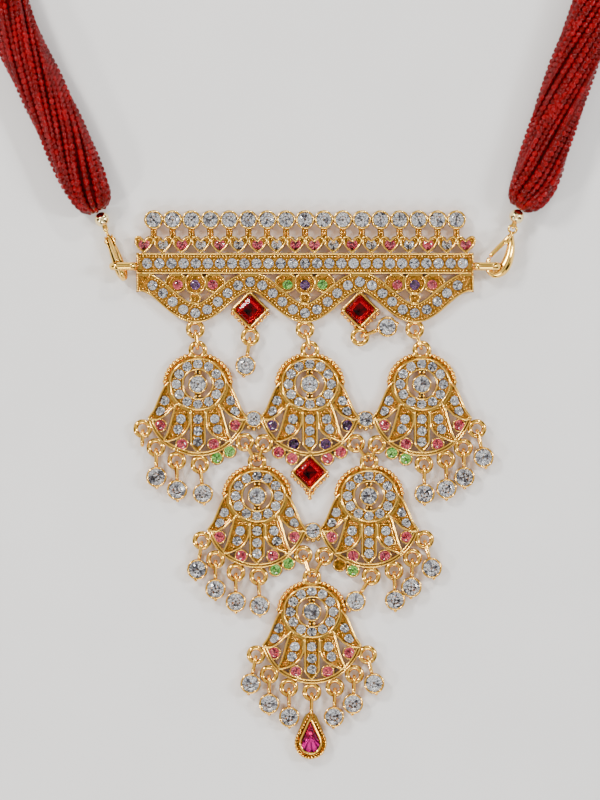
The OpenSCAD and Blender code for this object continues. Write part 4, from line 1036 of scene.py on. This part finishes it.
# X, Y and radius along the spine and hook, from the eye
SPINE = ((0.05, -1.0, 0.50), (0.33, -2.34, 0.74), (0.78, -3.8, 0.98), (1.03, -5.2, 1.14),
         (1.16, -6.6, 1.28), (1.14, -8.0, 1.38), (0.92, -9.4, 1.46), (0.48, -10.7, 1.36),
         (-0.25, -11.7, 1.12), (-1.15, -12.25, 0.92), (-2.15, -12.0, 0.76),
         (-2.98, -11.2, 0.70), (-3.46, -10.0, 0.62), (-3.46, -8.65, 0.50))
CHEEK = ((0.15, -1.2), (0.0, -1.9), (-0.2, -2.6), (-0.55, -3.4), (-0.8, -4.0))
LEVER = ((-0.15, -2.1), (-0.95, -3.5), (-1.75, -4.95), (-2.5, -6.4), (-3.05, -7.5), (-3.32, -8.1))
EYE_LOOP_R, TABLE_GAP = 0.42, 0.06


def rolled(v, degrees):
    """Points turned about the Y axis."""
    t = math.radians(degrees)
    return np.stack([v[:, 0] * math.cos(t) + v[:, 2] * math.sin(t), v[:, 1],
                     v[:, 2] * math.cos(t) - v[:, 0] * math.sin(t)], 1)


def placed(clasp, roll):
    """Moves points from a clasp's own frame, with its eye at the origin, to its place."""
    a = math.radians(clasp[1])

    def move(v):
        x, y, z = rolled(v, roll).T
        turned = [x * math.cos(a) - y * math.sin(a), x * math.sin(a) + y * math.cos(a), z]
        return np.stack(turned, 1) + np.array(clasp[0])
    return move


def tapered(path, stops, radii):
    return np.interp(np.linspace(0, 1, len(path)), stops, radii)


for side, clasp, roll in (("left", CLASP_LEFT, 90), ("right", CLASP_RIGHT, 0)):
    move = placed(clasp, roll)
    pts = np.array(SPINE)
    if roll:
        # On edge, the spine is flatter and stays off the table
        pts[:, 0] = np.minimum(pts[:, 0], 0.45 * pts[:, 0])
        pts[:, 2] = np.minimum(pts[:, 2], clasp[0][2] - TABLE_GAP - pts[:, 0])
    u, fine_u = np.arange(len(pts)), np.linspace(0, len(pts) - 1, 60)
    body_path = np.stack([np.interp(fine_u, u, pts[:, k]) for k in range(3)], 1)
    for _ in range(2):
        body_path[1:-1] = (body_path[:-2] + 2 * body_path[1:-1] + body_path[2:]) / 4
    soup = Soup()
    tube(soup, at_z(body_path, 0), body_path[:, 2], False, 16, 1.12, move)
    cheek = spaced(CHEEK, 0.2, False)
    radii = tapered(cheek, [0, 0.4, 0.8, 1], [0.55, 0.85, 0.7, 0.35])
    for z in (-0.92, 0.92):
        tube(soup, at_z(cheek, z), radii, False, 14, 0.42, move)
    v, sets = torus_proto(0.95, 0.36, 28, 12)
    soup.add(move(v), sets)
    for z in (-1.3, 1.3):
        rivet = BIG_GRAIN[0] * np.array([0.42, 0.42, 0.22]) + np.array([-0.15, -2.35, z])
        soup.add(move(rivet), BIG_GRAIN[1])
    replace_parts(soup.make("clasp_" + side + "_body", [BRIGHT_GOLD], "bright_gold"), "clasp_" + side)
    soup = Soup()
    lever = spaced(LEVER, 0.3, False)
    radii = tapered(lever, [0, 0.3, 1], [0.72, 0.66, 0.54])
    tube(soup, at_z(lever, 0), radii, False, 14, 0.85, move)
    o = soup.make("lever_" + side + "_rod", [BRIGHT_GOLD], "bright_gold", "lever_" + side)
    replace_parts(o, "lever_" + side)
    soup = Soup()
    v, sets = sphere_proto(28, 20)
    soup.add(move(v * 1.85 + np.array([0, 3.3, 0])), sets, 1)
    stadium = [(EYE_LOOP_R * math.cos(a), 1.15 + EYE_LOOP_R * math.sin(a))
               for a in np.linspace(-math.pi, 0, 10)]
    stadium = spaced(stadium + [(EYE_LOOP_R, 2.6), (-EYE_LOOP_R, 2.6)], 0.2)
    for twist, low in ((0, -0.2), (90, -0.55)):
        tube(soup, at_z(stadium, 0), 0.26, True, 10, 1.0,
             lambda v: move(rolled(v, twist) + np.array([0, low, 0])))
    o = soup.make("end_bead_" + side + "_ball", [BRIGHT_GOLD, PALE_GOLD], "bright_gold")
    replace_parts(o, "end_bead_" + side)

# Round wire over the side rings' bands
side_work = Soup()
RING_L, RING_H, RING_LOW, RING_CORNER = 6.6, 5.4, 1.7, 1.8
for s in (-1, 1):
    centre = np.array([s * (BAR_L / 2 + RING_L / 2 - 0.25), -0.8, RING_LOW + RING_H / 2])
    oval_path, corner_r = [], RING_CORNER - 0.4
    for quarter, (sx, sz) in enumerate(((1, 1), (-1, 1), (-1, -1), (1, -1))):
        for a in np.radians(np.linspace(90 * quarter, 90 * quarter + 90, 9)):
            oval_path.append((sx * (RING_L / 2 - RING_CORNER) + corner_r * math.cos(a),
                              sz * (RING_H / 2 - RING_CORNER) + corner_r * math.sin(a)))
    tube(side_work, at_z(spaced(oval_path, 0.3), 0), 0.74, True, 16, 1.33,
         lambda v: np.stack([v[:, 0], v[:, 2], v[:, 1]], 1) + centre)
    foot = BIG_GRAIN[0] * np.array([0.95, 1.1, 0.8]) + np.array([s * (BAR_L / 2 + 0.35), -0.8, 2.3])
    side_work.add(foot, BIG_GRAIN[1])
side_work.make("side_ring_wire", [BRIGHT_GOLD], "bright_gold")

# The bundle of strands, on the route of the part's source

ROUTE = [
    (57.2, 20.5), (60, 29), (63.6, 40), (67.6, 51.5), (72, 63), (78, 80), (84, 102), (86.5, 126),
    (83.5, 150), (74, 171), (57, 187.5), (34, 197.5), (7, 201), (-20, 199.5), (-45, 192.5),
    (-66, 178.5), (-80.5, 159), (-87.5, 135), (-87, 110), (-82, 87), (-76, 68), (-71, 55),
    (-65.5, 43.5), (-60.3, 32.5), (-56.2, 23),
]


def beyond(clasp, y):
    """The point y beyond a clasp's eye, on its own axis."""
    a = math.radians(clasp[1])
    return np.array([clasp[0][0] - y * math.sin(a), clasp[0][1] + y * math.cos(a)])


knots = np.array([beyond(CLASP_RIGHT, 1.3), beyond(CLASP_RIGHT, 5.3), *ROUTE,
                  beyond(CLASP_LEFT, 5.3), beyond(CLASP_LEFT, 1.3)])
fine = [catmull_rom(*knots[i - 1:i + 3], t) for i in range(1, len(knots) - 2)
        for t in np.linspace(0, 1, 24, endpoint=False)]
fine = np.array(fine + [knots[-2]])
arc = np.concatenate([[0], np.cumsum(np.linalg.norm(np.diff(fine, axis=0), axis=1))])
LENGTH = arc[-1]
# How the bundle swells from each end bead, as a share of its width, by distance
END_SHARE = 0.20
SWELL = ([0, 0.8, 2.0, 4.0, 7.5, 12.5], [END_SHARE, 0.46, 0.70, 0.87, 0.97, 1.0])


def along(s):
    """Middle, heading and swelling of the bundle at distance s from the right end bead."""
    def at(s):
        return np.interp(s, arc, fine[:, 0]), np.interp(s, arc, fine[:, 1])

    e = 0.6
    (x, y), (x1, y1), (x2, y2) = at(s), at(s - e), at(s + e)
    dx, dy = x2 - x1, y2 - y1
    n = np.hypot(dx, dy) + 1e-12
    k = np.interp(np.minimum(s, LENGTH - s), *SWELL)
    end_z = np.where(s < LENGTH / 2, CLASP_RIGHT[0][2], CLASP_LEFT[0][2])
    t = (k - END_SHARE) / 0.80
    z = np.maximum(end_z + (BUNDLE_H / 2 - end_z) * t, k * BUNDLE_H / 2)
    return x, y, z, dx / n, dy / n, k


STRANDS, GROUPS, BEAD_PITCH, BEAD_R, SIDES = 32, 4, 1.45, 0.75, 9
# Rings of a bead: how far along its pitch, and the share of its radius
PROFILE = ((0.0, 0.30), (0.24, 0.95), (0.74, 0.95))


def tube_uv(u, sides):
    return np.stack([np.repeat(u, sides), np.tile(np.arange(sides) / sides, len(u))], 1)


def strand(soup, number):
    """A string of beads that winds round the bundle."""
    count = int(LENGTH / BEAD_PITCH)
    rings = len(PROFILE)
    bead = np.repeat(np.arange(count), rings)
    share = np.tile([p[0] for p in PROFILE], count)
    s = (bead + share) * BEAD_PITCH
    shift = rng.uniform(0, 1)
    s = (s + shift * BEAD_PITCH) * (LENGTH / ((count + 1) * BEAD_PITCH))
    size = np.repeat(rng.uniform(0.93, 1.04, count), rings) * np.tile([p[1] for p in PROFILE], count)
    phase = rng.uniform(0, 2 * np.pi, 3)
    wobble = 0.10 * np.sin(s / 23 + phase[0]) + 0.05 * np.sin(s / 8.3 + phase[1])
    a = 2 * np.pi * number / STRANDS + s * 0.042 + wobble
    depth = 1 - 0.10 * (1 + np.sin(s / 14 + phase[2])) * 0.5
    x, y, z, hx, hy, k = along(s)
    across = np.cos(a) * k * depth * (BUNDLE_W / 2 - BEAD_R)
    up = np.sin(a) * k * depth * (BUNDLE_H / 2 - BEAD_R)
    path = np.stack([x - hy * across, y + hx * across, z + up], 1)
    path[:, 2] = np.maximum(path[:, 2], BEAD_R + 0.02)
    t = np.gradient(path, axis=0)
    t /= np.linalg.norm(t, axis=1, keepdims=True)
    out = np.cross(t, [0, 0, 1.0])
    out /= np.linalg.norm(out, axis=1, keepdims=True)
    top = np.cross(out, t)
    b = 2 * np.pi * np.arange(SIDES) / SIDES
    ring = out[:, None] * np.cos(b)[:, None] + top[:, None] * np.sin(b)[:, None]
    v = (path[:, None] + (BEAD_R * size)[:, None, None] * ring).reshape(-1, 3)
    uv = tube_uv(bead + (0.02 + share * 0.9) + number * 1000, SIDES)
    soup.add(v, [ring_faces(len(path), SIDES), end_caps(len(path), SIDES)], 0, True, uv)


for g in range(GROUPS):
    soup = Soup()
    for number in range(g, STRANDS, GROUPS):
        strand(soup, number)
    soup.make("bead_strands_%d" % (g + 1), [BEAD_RED], "bead_red")

# A dark core in place of the inner strings, painted in the shade they lie in and darker still between
# its lumps, so that no light comes through between the strings
CORE_SIDES, CORE_DEPTH = 20, 1.35
s = np.linspace(0.3, LENGTH - 0.3, 260)
x, y, z, hx, hy, k = along(s)
b = 2 * np.pi * np.arange(CORE_SIDES) / CORE_SIDES
across = np.cos(b)[None] * (k * (BUNDLE_W / 2 - CORE_DEPTH))[:, None]
up = np.sin(b)[None] * (k * (BUNDLE_H / 2 - CORE_DEPTH))[:, None]
v = [x[:, None] - hy[:, None] * across, y[:, None] + hx[:, None] * across, z[:, None] + up]
core = Soup()
core.add(np.stack(v, 2).reshape(-1, 3),
         [ring_faces(len(s), CORE_SIDES), end_caps(len(s), CORE_SIDES)], 0, True,
         tube_uv(s / BEAD_PITCH, CORE_SIDES))
shaded_core_material, sh, bsdf = new_material("inner_strands_painted_shade")
lumps = sh.add("TexVoronoi", {"Vector": sh.place(), "Scale": 720}).outputs["Distance"]
bump = sh.add("Bump", {"Distance": 0.0004, "Height": lumps}, invert=True)
# Near black and darker between the lumps: painted shade of the inner strings.
sh.fill(bsdf, {"Base Color": sh.ramp(lumps, (0, (0.09, 0.0, 0.001)), (0.7, (0.02, 0.0, 0.0))),
               "Normal": bump.outputs["Normal"], "Roughness": 0.6, "Specular IOR Level": 0.03})
core_piece = core.make("inner_strands_painted_shade", [shaded_core_material], "bead_red")
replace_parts(core_piece, "strand_bundle")


# Floor, light and camera

FLOOR = 1.5
floor_mesh = bpy.data.meshes.new("floor")
corners = [(-FLOOR, -FLOOR, 0), (FLOOR, -FLOOR, 0), (FLOOR, FLOOR, 0), (-FLOOR, FLOOR, 0)]
floor_mesh.from_pydata(corners, [], [(0, 1, 2, 3)])
floor = bpy.data.objects.new("floor", floor_mesh)
floor.location.z = -0.0002
bpy.context.scene.collection.objects.link(floor)
paper, sh, bsdf = new_material("floor_paper")
shades = sh.ramp(sh.noise(40), (0, (0.70, 0.69, 0.68)), (1, (0.76, 0.75, 0.74)))
sh.fill(bsdf, {"Base Color": shades, "Roughness": 0.8})
floor_mesh.materials.append(paper)


def pale(v):
    return v, v * 0.98, v * 0.95


# Upright panels round the horizon, a bright ring round the zenith, and darker boxes over both
world = bpy.data.worlds.new("studio")
bpy.context.scene.world = world
world.use_nodes = True
sh = Shader(world.node_tree)
axes = sh.axes("Generated")
turns = sh.math("MULTIPLY_ADD", sh.math("ARCTAN2", axes["Y"], axes["X"]), 5.0, 0.9)
panels = sh.ramp(sh.spread(sh.math("SINE", turns), from_low=-1),
                 (0.20, pale(0.05)), (0.40, pale(2.1)))
dome = sh.ramp(axes["Z"], (0.79, (0.05, 0.048, 0.045)), (0.99, (0.60, 0.58, 0.55)),
               (0.86, (1.70, 1.66, 1.58)), (0.965, (1.70, 1.66, 1.58)))
both = sh.mix(sh.spread(axes["Z"], 0, 1, 0.52, 0.66), panels, dome)
boxes = sh.ramp(sh.noise(11, 1, "Generated"), (0.40, (0.30, 0.30, 0.30)), (0.56, (1, 1, 1)))
sh.fill(world.node_tree.nodes["Background"],
        {"Color": sh.mix(1, both, boxes, "MULTIPLY"), "Strength": 1.0})


def area(name, place, aim, size, power, colour=(1, 1, 1)):
    data = bpy.data.lights.new(name, "AREA")
    data.shape = "RECTANGLE"
    data.size, data.size_y = size
    data.energy = power
    data.color = colour
    o = bpy.data.objects.new(name, data)
    o.location = place
    o.rotation_euler = (Vector(aim) - Vector(place)).to_track_quat("-Z", "Y").to_euler()
    bpy.context.scene.collection.objects.link(o)


area("key", (-0.50, 0.42, 0.68), (0, -0.02, 0), (0.12, 0.20), 6.5, (1.0, 0.97, 0.93))
area("fill", (0.62, 0.10, 0.62), (0, -0.03, 0), (0.10, 0.24), 4.4, (0.97, 0.98, 1.0))
area("front", (0.02, -0.66, 0.60), (0, -0.03, 0), (0.34, 0.14), 3.0)
area("left_glint", (-0.66, -0.30, 0.56), (0, -0.02, 0), (0.06, 0.10), 3.0, (1.0, 0.98, 0.95))
area("back_glint", (0.28, 0.70, 0.66), (0, -0.02, 0), (0.08, 0.06), 3.0)

# The camera looks straight down and frames what the photograph does
PIXEL, PHOTO_MIDDLE, ORIGIN_PIXEL = 0.25 * MM, (300, 400), (305, 263.6)
DISTANCE, VIEW_H, SENSOR = 1.2, 0.200, 24
cam_data = bpy.data.cameras.new("camera")
cam = bpy.data.objects.new("camera", cam_data)
bpy.context.scene.collection.objects.link(cam)
cam_data.sensor_fit = "VERTICAL"
cam_data.sensor_height = SENSOR
cam_data.lens = SENSOR * DISTANCE / VIEW_H
cam.location = ((PHOTO_MIDDLE[0] - ORIGIN_PIXEL[0]) * PIXEL,
                (ORIGIN_PIXEL[1] - PHOTO_MIDDLE[1]) * PIXEL, DISTANCE)
cam.rotation_euler = (0, 0, 0)
cam_data.clip_start = 0.01
cam_data.clip_end = 10
bpy.context.scene.camera = cam
